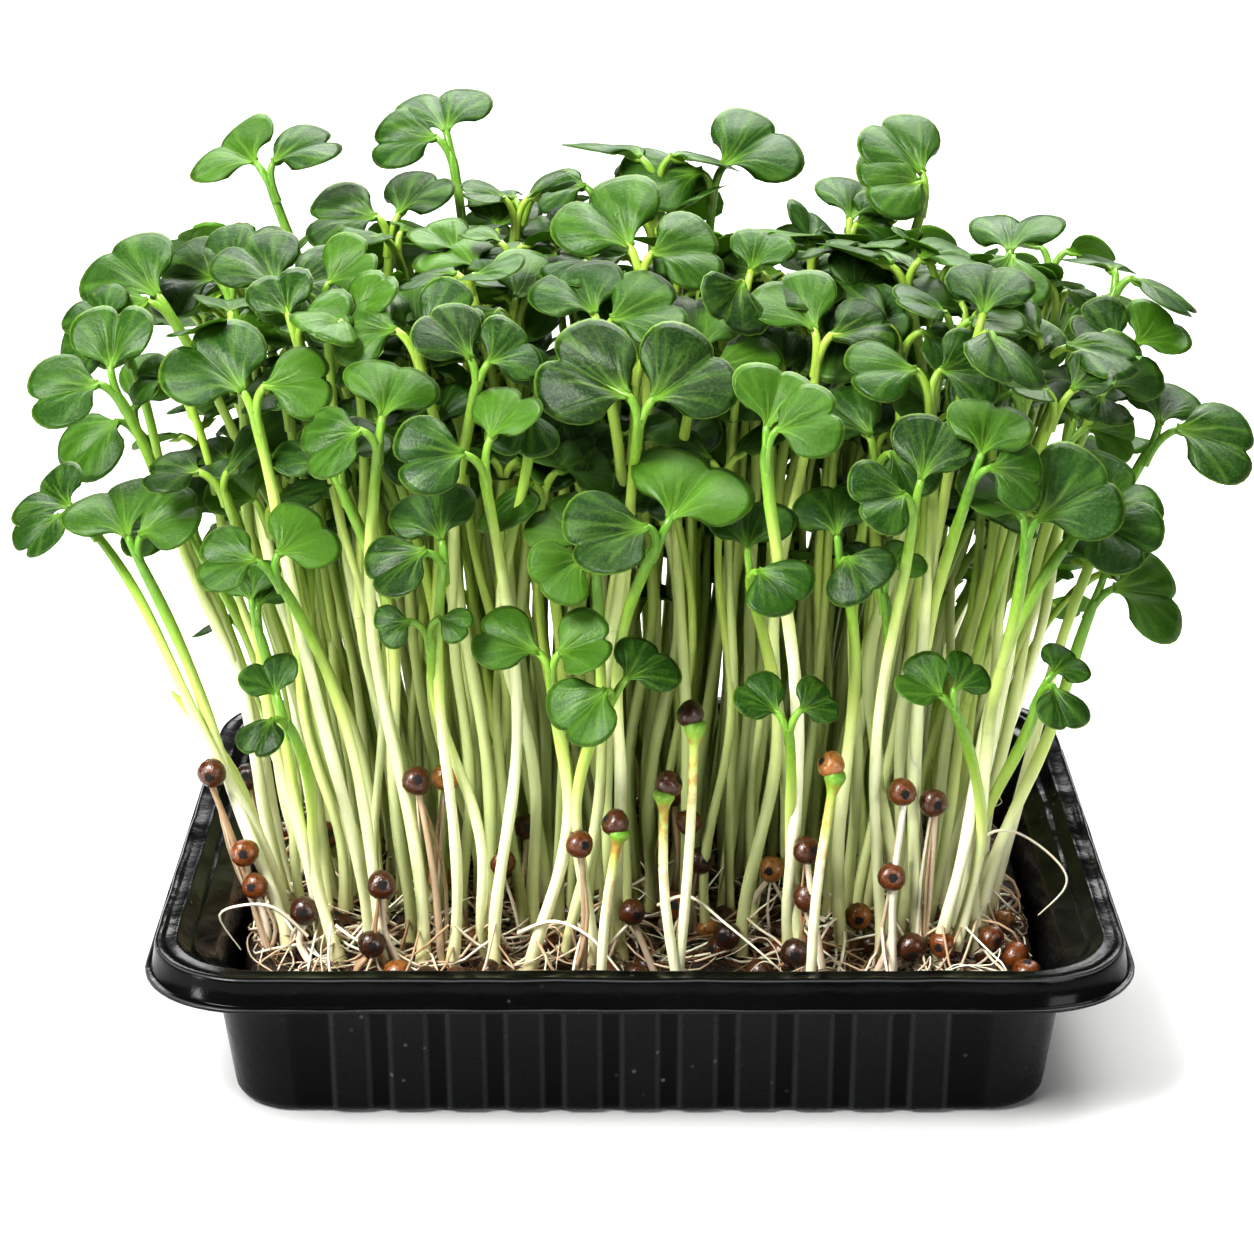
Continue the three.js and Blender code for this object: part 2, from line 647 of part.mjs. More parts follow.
// Places for the hulls: free spots among the stems, and spots along the root layer's edge.
function planHulls(pairs, draw) {
  const feet = pairs.flat().map((plant) => plant.foot);
  const spots = [];
  const offer = (x, y, turn) => {
    const clearOfFeet = feet.every((foot) => {
      return Math.hypot(foot[0] - x, foot[1] - y) > HULLS.window + STEM.footRadius * 0.8;
    });
    const clearOfSpots = spots.every((spot) => Math.hypot(spot.x - x, spot.y - y) > HULLS.spacing);
    if (clearOfFeet && clearOfSpots) spots.push({ x, y, turn });
  };
  const [edgeX, edgeY] = [ROOTS.halfWidth + 1, ROOTS.halfDepth + 1];
  const shift = () => draw(-HULLS.edgeShift, HULLS.edgeShift);
  const { edgeStart, edgeEnd, edgePitch } = HULLS;
  for (const side of [-1, 1]) {
    for (let t = edgeStart - edgeX; t <= edgeX - edgeEnd; t += edgePitch) {
      offer(t + shift(), side * edgeY, 0);
    }
    for (let t = edgeStart - edgeY; t <= edgeY - edgeEnd; t += edgePitch) {
      offer(side * edgeX, t + shift(), Math.PI / 2);
    }
  }
  for (let i = 0; i < HULLS.tries; i++) {
    const x = draw(-HULLS.halfWidth, HULLS.halfWidth);
    const y = draw(-HULLS.halfDepth, HULLS.halfDepth);
    offer(x, y, draw(0, Math.PI));
  }
  return spots;
}

// What is cut out of the root layer for one spot's hulls.
function makeOpening({ x, y }) {
  const height = 4 * (ROOTS.topZ - ROOTS.bottomZ);
  const opening = new THREE.CylinderGeometry(HULLS.window, HULLS.window, height, HULLS.sides);
  opening.rotateX(Math.PI / 2);
  opening.translate(x, y, ROOTS.topZ);
  return solidFromGeometry(opening);
}

function makeHull(x, y, z) {
  const hull = new THREE.IcosahedronGeometry(HULLS.radius, 0);
  hull.rotateZ(x + y);
  hull.translate(x, y, z);
  return solidFromGeometry(hull);
}

// The fibre mat fills the tray below the root layer. At each spot two hulls lie on it.
function makeMat(spots) {
  const foot = WALL.footRadius;
  const inner = (z) => wallInset(z) + TRAY.sheet + MAT.clearance;
  let mat = loft([
    trayRing(wallInset(0) + foot + 1.6, TRAY.sheet + GAP),
    trayRing(inner(foot + 1), foot + 1 + GAP),
    trayRing(inner(MAT.topZ), MAT.topZ),
  ]);
  const apart = HULLS.radius + GAP / 2;
  for (const { x, y, turn } of spots) {
    for (const side of [-apart, apart]) {
      const z = MAT.topZ + HULLS.radius - HULLS.sunk;
      mat = mat.add(makeHull(x + side * Math.cos(turn), y + side * Math.sin(turn), z));
    }
  }
  return mat;
}

// The root layer's outline: a rounded oblong, waved a little where roots creep towards the wall.
function rootOutline() {
  const points = [];
  for (let i = 0; i < ROOTS.steps; i++) {
    const angle = (2 * Math.PI * i) / ROOTS.steps;
    const wave = (ROOTS.wave * (Math.sin(5 * angle) + Math.sin(9 * angle + 2))) / 2;
    const [cos, sin] = [Math.cos(angle), Math.sin(angle)];
    const stretch = (Math.abs(cos) ** ROOTS.power + Math.abs(sin) ** ROOTS.power) ** (-1 / ROOTS.power);
    const x = (ROOTS.halfWidth + wave) * cos * stretch;
    const y = (ROOTS.halfDepth + wave) * sin * stretch;
    points.push(new THREE.Vector2(x, y));
  }
  return new THREE.Shape(points);
}

// The knitted root layer, open at the hulls, and every pale stem up to where it turns green.
function makeRootsAndStems(pairs, spots) {
  const depth = ROOTS.topZ - ROOTS.bottomZ;
  const layer = new THREE.ExtrudeGeometry(rootOutline(), { depth, bevelEnabled: false });
  layer.translate(0, 0, ROOTS.bottomZ);
  let whole = solidFromGeometry(layer);
  for (const spot of spots) whole = whole.subtract(makeOpening(spot));
  for (const plant of pairs.flat()) {
    const radii = [STEM.footRadius, STEM.radius, STEM.radius];
    whole = whole.add(loft(paleHeights(plant).map((z, i) => stemRing(plant, z, radii[i]))));
  }
  return whole;
}

// ---------------------------------------------------------------------------------------------------
// Assembly

const finish = (color, roughness) => new THREE.MeshStandardMaterial({ color, roughness, metalness: 0 });

const draw = seededDraw(SEED);
const pairs = [...LEADING, ...planCrowd(draw)];
planStems(pairs, draw);
planLeaves(pairs, draw);
const spots = planHulls(pairs, draw);

const microgreens = new THREE.Group();
microgreens.add(
  meshOf("tray", makeTray(), finish(COLOURS.tray, 0.3)),
  meshOf("growing_mat", makeMat(spots), finish(COLOURS.mat, 0.8)),
  meshOf("roots_and_stems", makeRootsAndStems(pairs, spots), finish(COLOURS.roots, 0.6)),
);
pairs.forEach((pair, index) => {
  const name = `leafy_tops_${String(index + 1).padStart(2, "0")}`;
  const tops = pair.map(makeTop);
  microgreens.add(meshOf(name, tops[0].add(tops[1]), finish(COLOURS.leaves, 0.55)));
});

export default microgreens;
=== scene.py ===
# %% [markdown]
# # A tray of radish microgreens
#
# The real thing is a shallow black punnet with a damp mat in it. Radish seeds sprout on the mat, their
# roots knit into one pale felt, and some four hundred thin stems rise from it, each with two notched
# seed leaves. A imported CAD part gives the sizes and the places. This lesson dresses it: it grows a fine
# mesh and a finish round every solid, in the same frame, in metres, with +Z up.

# %% Load the frame
import math
from types import SimpleNamespace

import bpy
import numpy as np
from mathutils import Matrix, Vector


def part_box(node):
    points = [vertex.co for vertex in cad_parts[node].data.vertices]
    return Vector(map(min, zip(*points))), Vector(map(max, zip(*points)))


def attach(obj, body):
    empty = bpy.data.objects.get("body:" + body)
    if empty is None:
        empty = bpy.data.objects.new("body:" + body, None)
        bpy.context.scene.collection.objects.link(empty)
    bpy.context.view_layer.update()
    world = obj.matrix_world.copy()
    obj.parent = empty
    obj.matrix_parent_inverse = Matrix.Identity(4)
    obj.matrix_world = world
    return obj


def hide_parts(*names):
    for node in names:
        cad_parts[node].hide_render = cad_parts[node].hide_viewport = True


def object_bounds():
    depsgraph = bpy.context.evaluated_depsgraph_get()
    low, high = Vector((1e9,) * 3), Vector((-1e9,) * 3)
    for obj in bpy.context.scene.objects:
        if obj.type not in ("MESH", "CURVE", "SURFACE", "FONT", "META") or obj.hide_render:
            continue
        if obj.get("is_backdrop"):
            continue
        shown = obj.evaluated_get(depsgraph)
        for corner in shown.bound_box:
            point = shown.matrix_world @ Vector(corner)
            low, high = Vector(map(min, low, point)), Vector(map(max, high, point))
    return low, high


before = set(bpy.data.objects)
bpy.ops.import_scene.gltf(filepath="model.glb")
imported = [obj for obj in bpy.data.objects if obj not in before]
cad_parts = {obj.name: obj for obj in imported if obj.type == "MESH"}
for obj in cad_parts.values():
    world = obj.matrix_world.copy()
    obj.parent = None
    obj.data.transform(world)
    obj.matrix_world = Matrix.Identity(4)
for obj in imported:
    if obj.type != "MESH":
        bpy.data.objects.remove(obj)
cad_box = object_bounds()
MM = 0.001  # the plan below is in millimetres, and every mesh is in metres
print("CAD box", [[round(value, 4) for value in corner] for corner in cad_box])

# %% [markdown]
# ## Camera
#
# A product shot of a small tray is taken from a little above, with a long lens that keeps the sides
# nearly upright. The camera comes first, so that each later step can be looked at as soon as it runs.

# %% Camera
CAMERA_PLACE = (-2.07, -516.5, 255.05)
CAMERA_PITCH = 20.06  # degrees below level
camera = bpy.data.objects.new("product_camera", bpy.data.cameras.new("product_camera"))
camera.data.lens = 92.45
camera.location = [value * MM for value in CAMERA_PLACE]
camera.rotation_euler = (math.radians(90 - CAMERA_PITCH), 0, 0)
bpy.context.scene.collection.objects.link(camera)
bpy.context.scene.camera = camera
print("camera stands", round(camera.location.length, 3), "m from the tray's foot")

# %% [markdown]
# ## Where every seedling stands
#
# The CAD part places its seedlings by a seeded rule. The fine ones must stand in the same places, so the
# lesson repeats that rule: the same dimensions, the same chooser of numbers and the same order of draws.
# First come the dimensions, in millimetres.

# %% Dimensions shared with the CAD part
TRAY = SimpleNamespace(half_width=80, half_depth=63, height=30, corner=18, shrink=0.6, sheet=0.9)
RIM = SimpleNamespace(
    lip_height=0.7,
    lip_reach=0.9,
    skirt_height=5.2,
    top_inset=1.8,
    top_width=3.2,
    edge_drop=1.2,
    inner_slope=1.4,
    ledge_drop=2,
    ledge_width=1.5,
)
WALL = SimpleNamespace(top_z=25.4, top_inset=10.2, foot_inset=13.4, foot_radius=2.6)
FLUTE = SimpleNamespace(pitch=9.35, width=5.8, proud=0.7, long_side=11, short_side=8)
ROOTS = SimpleNamespace(top_z=20.3, half_width=63, half_depth=46.5)
HULLS = SimpleNamespace(
    radius=2.4,
    window=6,
    spacing=15.5,
    tries=700,
    half_width=56,
    half_depth=40,
    edge_pitch=30,
    edge_shift=4,
    edge_start=15,
    edge_end=9,
)
STEM = SimpleNamespace(
    foot_radius=1.5,
    radius=1.15,
    tip_radius=0.95,
    green_below_meet=9,
    foot_slope=0.6,
    tip_slope=1.3,
    sunk=1,
)
MEET = SimpleNamespace(below_tip=24, lowest=44, highest=86, apart=0.5, lean=1.4, reach_step=0.12)
CROWD = SimpleNamespace(
    pairs=16,
    candidates=40,
    half_width=58,
    half_depth=41,
    apart=7,
    foot_weight=1.8,
    middle_z=126,
    side_drop=12,
    spread=9,
    fan_x=0.34,
    fan_y=0.3,
    shift=3,
    sizes=(0.85, 1.1),
    turn_depth=80,
)
LEAF = SimpleNamespace(
    length=10.2,
    half_width=6.9,
    petiole=5.4,
    droop=0.14,
    cup=(-0.1, 0.22),
    second_size=0.9,
    stalk_spread=0.85,
    turn_width=240,
)
CLEAR = SimpleNamespace(
    stems=2.9, leaf_to_leaf=3.4, leaf_to_stem=2.9, attempts=70, nearby=32, level_step=3
)
GAP = 0.3
SEED = 9
BED_Z = ROOTS.top_z

# %% [markdown]
# The chooser turns a seed into evenly spread numbers with whole-number arithmetic alone, so it gives
# the same numbers in any language.

# %% The seeded chooser
WORD = 0xFFFFFFFF


def seeded_draw(seed):
    state = seed & WORD

    def draw(low, high):
        nonlocal state
        state = (state + 0x6D2B79F5) & WORD
        mixed = ((state ^ (state >> 15)) * (1 | state)) & WORD
        mixed = ((mixed + (mixed ^ (mixed >> 7)) * (61 | mixed)) & WORD) ^ mixed
        return low + (high - low) * (mixed ^ (mixed >> 14)) / (WORD + 1)

    return draw


# %% [markdown]
# The seedlings that stand out are listed one by one, in neighbouring pairs: the foremost, the tallest and
# those that lean furthest. Each row gives two of them. A seedling is its foot's x and y on the bed, its
# tip's x, y and z, the ways its two leaves point and, where they aren't 1 and 0.8, the leaves' size and
# how far they face the front.

# %% The leading seedlings
def seedling(foot, tip, angles, size=1.0, facing=0.8):
    return SimpleNamespace(foot=foot, tip=tip, angles=angles, size=size, facing=facing)


LEADING_ROWS = [
    # left side, from the back to the front
    ((-46, 28, -64, 32, 137, 135, 30), (-39, 27, -43, 30, 128, 175, 50)),
    ((-56, -2, -77, -4, 123, 130, 195, 1.1), (-51, 4, -68, 6, 123, 160, 70)),
    ((-41, -10, -57, -9, 125, 125, 20), (-36, -14, -51, -15, 127, 65, 200)),
    ((-60, -9, -84, -10, 119, 180, 80), (-60, -15, -84, -20, 114, 200, 95)),
    ((-59, 4, -75, -2, 83, 160, 70, 0.9), (-60, 9, -85, 4, 101, 215, 60)),
    ((-60, -21, -91, -16, 91, 140, 225, 0.85), (-59, -27, -81, -27, 89, 115, 20)),
    ((-45, -29, -60, -37, 116, 135, 10), (-42, -35, -57, -45, 92, 95, 200)),
    ((-50, -33, -56, -44, 67, 115, 245, 0.6), (-53, -28, -61, -36, 80, 90, 20, 0.7)),
    # front row, from left to right
    ((-36, -33, -40, -45, 113, 105, 215), (-38, -26, -47, -37, 104, 165, 60, 0.85)),
    ((-30, -20, -35, -31, 124, 195, 45), (-25, -23, -25, -38, 121, 130, 35)),
    ((-24, -35, -24, -47, 110, 120, 20, 1.15), (-17, -27, -17, -34, 113, 50, 200)),
    ((-31, -34, -30, -49, 95, 110, 210, 0.9), (-26, -31, -33, -49, 84, 225, 30, 0.6)),
    ((-18, -36, -14, -49, 78, 160, 10, 0.8), (-8, -35, -4, -51, 74, 215, 45, 0.9)),
    ((-12, -30, -7, -42, 92, 65, 170, 1.1), (-3, -32, 3, -47, 98, 60, 200, 1.1)),
    ((-4, -26, 0, -42, 116, 150, 40, 1.1), (-6, -17, -6, -28, 125, 120, 20)),
    ((2, -12, 0, -18, 133, 125, 10, 1.1), (8, -20, 9, -28, 118, 92, 5)),
    ((25, -33, 19, -47, 113, 100, 15), (27, -35, 23, -50, 68, 140, 30, 0.6)),
    ((17, -30, 17, -43, 91, 130, 0, 0.95), (26, -18, 28, -26, 122, 125, 25)),
    ((34, -29, 31, -43, 93, 110, -20), (35, -24, 37, -35, 107, 150, -30, 0.9)),
    ((40, -34, 42, -46, 103, 75, 170, 1.1), (41, -28, 38, -40, 87, 165, 5, 0.7)),
    # right side, from the front to the back
    ((44, -24, 45, -32, 118, 120, -10, 1.1), (46, -33, 51, -46, 108, 95, 15)),
    ((49, -34, 60, -42, 97, 45, 140, 1.2), (52, -28, 70, -29, 94, 40, -40)),
    ((52, -33, 49, -46, 70, 150, 55, 0.6), (56, -30, 64, -38, 70, 5, 120, 0.85)),
    ((58, -22, 74, -24, 80, 5, 95, 1.1), (60, -14, 84, -12, 103, -10, 80)),
    ((52, -18, 61, -20, 112, 75, 190), (56, -12, 70, -13, 104, 60, -20)),
    ((57, 2, 79, 4, 125, -20, 110, 0.95, 0.2), (60, -5, 79, -4, 114, 25, 120, 0.9)),
    ((50, 8, 61, 8, 127, 40, 215, 1.2), (42, -4, 43, -7, 129, 160, 20, 1, 0.05)),
    # back, from right to left
    ((44, 30, 50, 34, 134, 130, 200), (36, 26, 36, 26, 128, 80, 20)),
    ((22, 8, 17, 6, 130, 160, 20, 1, 0.05), (27, 14, 26, 14, 122, 60, 230)),
    ((7, 31, 3, 35, 137, 145, 10, 1.05, 0.1), (14, 33, 13, 37, 135, 35, 190, 1.2)),
    ((-5, 35, -7, 41, 131, 110, -10), (-10, 26, -12, 23, 125, 80, 200)),
    ((-24, 34, -33, 42, 140, 100, 175), (-17, 31, -20, 36, 130, 170, 20, 1, 0.05)),
]
LEADING = [tuple(seedling(row[:2], row[2:5], row[5:7], *row[7:]) for row in rows) for rows in LEADING_ROWS]
print(len(LEADING), "leading pairs")

# %% [markdown]
# A crowd fills the room between the leading seedlings. Each new pair is offered several places and
# takes the emptiest, which spreads them evenly without a grid.

# %% The crowd between them
SIDE_REACH = 60  # how far out the crowd's tips have come down by the whole side drop
LEAF_TURN = (150, 210)  # from a seedling's first leaf to its second, in degrees
CROWD_FACING = (-0.2, 0.5)


def crowd_tip(draw, x, y):
    drop = CROWD.side_drop * ((x / SIDE_REACH) ** 2 + (y / SIDE_REACH) ** 2)
    z = CROWD.middle_z - drop + draw(-CROWD.spread, CROWD.spread)
    tip_x = x * (1 + CROWD.fan_x) + draw(-CROWD.shift, CROWD.shift)
    tip_y = y * (1 + CROWD.fan_y) + draw(-CROWD.shift, CROWD.shift)
    return (tip_x, tip_y, z)


def room_among(plants, foot, tip):
    return min(
        min(
            CROWD.foot_weight * math.hypot(plant.foot[0] - foot[0], plant.foot[1] - foot[1]),
            math.hypot(plant.tip[0] - tip[0], plant.tip[1] - tip[1]),
        )
        for plant in plants
    )


def plan_crowd(draw, plants, count, front_strip=0):
    plants = list(plants)
    pairs = []
    for _ in range(count):
        best = None
        for _ in range(CROWD.candidates):
            x = draw(-CROWD.half_width, CROWD.half_width)
            y = draw(front_strip - CROWD.half_depth, CROWD.half_depth)
            turn = draw(-math.pi, math.pi)
            dx = math.cos(turn) * CROWD.apart / 2
            dy = math.sin(turn) * CROWD.apart / 2
            feet = [(x - dx, y - dy), (x + dx, y + dy)]
            tips = [crowd_tip(draw, *foot) for foot in feet]
            room = min(room_among(plants, foot, tip) for foot, tip in zip(feet, tips))
            if best is None or room > best[0]:
                best = (room, feet, tips)
        pair = []
        for foot, tip in zip(best[1], best[2]):
            angle = draw(0, 360)
            facing = draw(*CROWD_FACING) - tip[1] / CROWD.turn_depth
            angles = (angle, angle + draw(*LEAF_TURN))
            pair.append(seedling(foot, tip, angles, draw(*CROWD.sizes), facing))
        plants += pair
        pairs.append(tuple(pair))
    return pairs


# %% [markdown]
# A stem leaves its foot, touches its neighbour at one height and leans out to its tip. Two smooth curves
# that share their slope at the meeting point describe that with four numbers each.

# %% How a stem bends
def ease(start, end, slope_start, slope_end, length, share):
    square, cube = share * share, share * share * share
    bend = (cube - 2 * square + share) * slope_start + (cube - square) * slope_end
    return start + (3 * square - 2 * cube) * (end - start) + bend * length


def stem_at(foot, meet, tip, z):
    low = meet[2] - BED_Z
    high = tip[2] - meet[2]
    point = []
    for axis in range(2):
        lower = (meet[axis] - foot[axis]) / low
        upper = (tip[axis] - meet[axis]) / high
        middle = (lower + upper) / 2
        if z < meet[2]:
            share = (z - BED_Z) / low
            value = ease(foot[axis], meet[axis], STEM.foot_slope * lower, middle, low, share)
        else:
            share = (z - meet[2]) / high
            value = ease(meet[axis], tip[axis], middle, STEM.tip_slope * upper, high, share)
        point.append(value)
    return (point[0], point[1], z)


def corner_heights(meet_z, tip_z):
    cut = meet_z - STEM.green_below_meet
    pale_top = cut - GAP / 2
    pale = [BED_Z - STEM.sunk, (BED_Z + pale_top) / 2, pale_top]
    return pale + [cut + GAP / 2, meet_z, (meet_z + tip_z) / 2, tip_z]


# %% [markdown]
# The CAD part keeps its stems clear of each other by trying meeting points until there is room. The
# same search runs here on whole arrays, so it takes a second and not a minute.

# %% Where neighbours meet
FAR = 1e9  # stands in for the distance to a stem that doesn't reach a height


def middles_at(paths, heights):
    """The middle of each faceted stem at each height, or FAR past its ends."""
    paths = np.asarray(paths)
    heights = np.asarray(heights)
    places = np.full((len(paths), len(heights), 2), FAR)
    for i in reversed(range(paths.shape[1] - 1)):
        a, b = paths[:, i, None], paths[:, i + 1, None]
        share = (heights - a[..., 2]) / (b[..., 2] - a[..., 2])
        inside = (heights >= a[..., 2]) & (heights <= b[..., 2])
        middle = a[..., :2] + share[..., None] * (b[..., :2] - a[..., :2])
        places[inside] = middle[inside]
    return places


def stem_room(path, standing):
    end = path[-1][2]
    heights = np.arange(MEET.lowest - STEM.green_below_meet, end + CLEAR.level_step, CLEAR.level_step)
    heights = np.minimum(heights, end)
    gaps = middles_at(standing, heights) - middles_at([path], heights)
    return np.hypot(*gaps.transpose(2, 0, 1)).min()


def meeting_place(pair, z):
    place = []
    for axis in range(2):
        ends = []
        for plant in pair:
            share = ((z - BED_Z) / (plant.tip[2] - BED_Z)) ** MEET.lean
            ends.append(plant.foot[axis] + share * (plant.tip[axis] - plant.foot[axis]))
        place.append((ends[0] + ends[1]) / 2)
    return place


def plan_stems(pairs, draw, standing=()):
    standing = list(standing)
    for pair in pairs:
        z = min(plant.tip[2] for plant in pair) - MEET.below_tip
        z = max(MEET.lowest, min(MEET.highest, z))
        natural = meeting_place(pair, z)
        (ax, ay), (bx, by) = pair[0].foot, pair[1].foot
        along = math.atan2(by - ay, bx - ax)
        best = None
        for attempt in range(CLEAR.attempts):
            reach = attempt * MEET.reach_step
            x = natural[0] + draw(-reach, reach)
            y = natural[1] + draw(-reach, reach)
            meets = [
                (x + side * math.cos(along), y + side * math.sin(along), z)
                for side in (-MEET.apart, MEET.apart)
            ]
            paths = [
                [stem_at(plant.foot, meet, plant.tip, level) for level in corner_heights(z, plant.tip[2])]
                for plant, meet in zip(pair, meets)
            ]
            room = min(stem_room(path, standing) for path in paths) if standing else math.inf
            if best is None or room > best[0]:
                best = (room, meets, paths)
            if room > CLEAR.stems:
                break
        for plant, meet, path in zip(pair, best[1], best[2]):
            plant.meet = meet
            plant.corners = np.array(path)
        standing += best[2]


# %% [markdown]
# A leaf has directions of its own: along its midrib, across it and out of its upper face. Each seedling
# turns its two leaves a little further at each try, until they clear whatever stands there already.

# %% How a leaf lies
# How much a try may change a leaf: its whole pair's swing and its own, its lean and its size.
LOOSE = SimpleNamespace(swing=60, turn=40, lean=0.3, shrink=0.3)
BACK_FACING = 0.2
STEM_REACH = 80  # stems whose tips stand further off can't touch a leaf


def unit(vector):
    vector = np.asarray(vector, float)
    return vector / math.sqrt(vector @ vector)


def make_leaf(plant, angle, face, size, cup):
    up = unit(face)
    right = unit(np.array([1.0, 0, 0]) - up[0] * up)
    back = np.cross(up, right)
    turn = math.radians(angle)
    along = right * math.cos(turn) + back * math.sin(turn)
    rising = unit(plant.corners[-1] - plant.corners[-2])
    return SimpleNamespace(
        along=along,
        across=np.cross(up, along),
        up=up,
        rising=rising,
        stalk=unit(rising + LEAF.stalk_spread * along),
        start=np.array(plant.tip, float),
        size=size,
        cup=cup,
    )


def leaf_points(leaf, along, across):
    blade = np.maximum(along, 0)
    bend = leaf.cup * LEAF.half_width * across**2 - LEAF.droop * LEAF.length * blade**2
    stalk = LEAF.petiole * (1 + np.minimum(along, 0))
    return (
        leaf.start
        + stalk[:, None] * leaf.stalk
        + (LEAF.length * leaf.size * blade)[:, None] * leaf.along
        + (LEAF.half_width * leaf.size * across)[:, None] * leaf.across
        + (leaf.size * bend)[:, None] * leaf.up
    )


LEAF_SAMPLES = [(-0.3, 0), (0.1, 0), (0.4, 0), (0.7, 0)]
LEAF_SAMPLES += [(along, across) for along in (0.25, 0.55, 0.88) for across in (-0.85, -0.45, 0.45, 0.85)]
SAMPLE_ALONG, SAMPLE_ACROSS = np.array(LEAF_SAMPLES, float).T


def plan_leaves(pairs, draw, placed=(), other_stems=()):
    plants = [plant for pair in pairs for plant in pair]
    placed = list(placed)
    all_stems = [plant.corners for plant in plants] + list(other_stems)
    for number, plant in enumerate(plants):
        tip = np.array(plant.tip, float)
        spots = np.array(placed).reshape(-1, 3)
        near = spots[np.linalg.norm(spots - tip, axis=1) < CLEAR.nearby]
        others = np.array(all_stems[:number] + all_stems[number + 1 :])
        others = others[np.hypot(*(others[:, -1, :2] - tip[:2]).T) < STEM_REACH]
        best = None
        for attempt in range(CLEAR.attempts):
            loose = attempt / CLEAR.attempts
            swing = draw(-LOOSE.swing, LOOSE.swing) * loose
            leaves = []
            for second, angle in enumerate(plant.angles):
                lean = plant.tip[0] / LEAF.turn_width + draw(-LOOSE.lean, LOOSE.lean) * (0.5 + loose)
                front = BACK_FACING if plant.tip[1] > 0 else draw(-BACK_FACING, BACK_FACING)
                angle = angle + swing + draw(-LOOSE.turn, LOOSE.turn) * loose
                size = plant.size * (LEAF.second_size if second else 1) * (1 - LOOSE.shrink * loose)
                face = (lean, front - plant.facing, 1)
                leaves.append(make_leaf(plant, angle, face, size, draw(*LEAF.cup)))
            points = np.concatenate([leaf_points(leaf, SAMPLE_ALONG, SAMPLE_ACROSS) for leaf in leaves])
            room = math.inf
            if len(near):
                gaps = np.linalg.norm(points[:, None] - near[None], axis=2)
                room = gaps.min() - CLEAR.leaf_to_leaf
            gaps = middles_at(others, points[:, 2]) - points[None, :, :2]
            level = np.hypot(*gaps.transpose(2, 0, 1))
            room = min(room, level.min() - CLEAR.leaf_to_stem)
            if best is None or room > best[0]:
                best = (room, leaves, points)
            if room > 0:
                break
        plant.leaves = best[1]
        placed += list(best[2])


# %% [markdown]
# The hulls lie in the free spots between the feet and along the edge of the roots. That rule draws from
# the same row of numbers, so it has to come here, after the leaves.

# %% Where the hulls lie
def plan_hulls(pairs, draw):
    feet = [plant.foot for pair in pairs for plant in pair]
    from_foot = HULLS.window + STEM.foot_radius * 0.8
    spots = []

    def offer(x, y):
        clear = all(math.hypot(foot[0] - x, foot[1] - y) > from_foot for foot in feet)
        if clear and all(math.hypot(spot[0] - x, spot[1] - y) > HULLS.spacing for spot in spots):
            spots.append((x, y))

    def steps(half):
        return np.arange(HULLS.edge_start - half, half - HULLS.edge_end + 1e-6, HULLS.edge_pitch)

    edge_x, edge_y = ROOTS.half_width + 1, ROOTS.half_depth + 1
    for side in (-1, 1):
        for along in steps(edge_x):
            offer(along + draw(-HULLS.edge_shift, HULLS.edge_shift), side * edge_y)
        for along in steps(edge_y):
            offer(side * edge_x, along + draw(-HULLS.edge_shift, HULLS.edge_shift))
    for _ in range(HULLS.tries):
        x = draw(-HULLS.half_width, HULLS.half_width)
        y = draw(-HULLS.half_depth, HULLS.half_depth)
        draw(0, math.pi)  # the way a CAD hull is turned, which a round one doesn't need
        offer(x, y)
    return spots


# %% Run the plan and hold it against the frame
draw = seeded_draw(SEED)
pairs = LEADING + plan_crowd(draw, [plant for pair in LEADING for plant in pair], CROWD.pairs)
plan_stems(pairs, draw)
plan_leaves(pairs, draw)
hull_spots = plan_hulls(pairs, draw)


def node_name(number):
    return f"leafy_tops_{number + 1:02d}"


def plan_error(pair, name):
    """How far the planned blades reach outside the box of their CAD node, in millimetres."""
    low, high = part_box(name)
    lobes = np.array([(1, 0.4), (1, -0.4), (0.52, 1), (0.52, -1)])
    points = [leaf_points(leaf, lobes[:, 0], lobes[:, 1]) for plant in pair for leaf in plant.leaves]
    points = np.concatenate(points) * MM
    return max((np.array(low) - points).max(), (points - np.array(high)).max()) / MM


errors = [plan_error(pair, node_name(number)) for number, pair in enumerate(pairs)]
print(len(pairs), "pairs and", len(hull_spots), "hull spots")
print("The plan is off by at most", round(max(errors), 3), "mm")

# %% [markdown]
# ## Three small tools
#
# Almost everything here is one of two things: a tube along a path (stems, stalks, roots, fibres) or a
# copy of a small form (leaf blades, seeds). Each gets one Geometry Nodes tree. A plain function adds
# the nodes, so that a tree reads from top to bottom like a list of steps.

# %% Helpers that build node trees
def join_up(tree, value, socket):
    """Gives a socket a plain value, another node's output or that node's first output."""
    if isinstance(value, bpy.types.Node):
        value = value.outputs[0]
    if isinstance(value, bpy.types.NodeSocket):
        tree.links.new(value, socket)
    else:
        socket.default_value = value


def put(tree, kind, inputs=None, **options):
    """Adds a node with its options and inputs."""
    node = tree.nodes.new(kind)
    for name, value in options.items():
        setattr(node, name, value)
    for key, value in (inputs or {}).items():
        join_up(tree, value, node.inputs[key])
    return node


def maths(tree, operation, *values):
    return put(tree, "ShaderNodeMath", dict(enumerate(values)), operation=operation)


def times(tree, first, second):
    return maths(tree, "MULTIPLY", first, second)


def plus(tree, first, second):
    return maths(tree, "ADD", first, second)


def minus(tree, first, second):
    return maths(tree, "SUBTRACT", first, second)


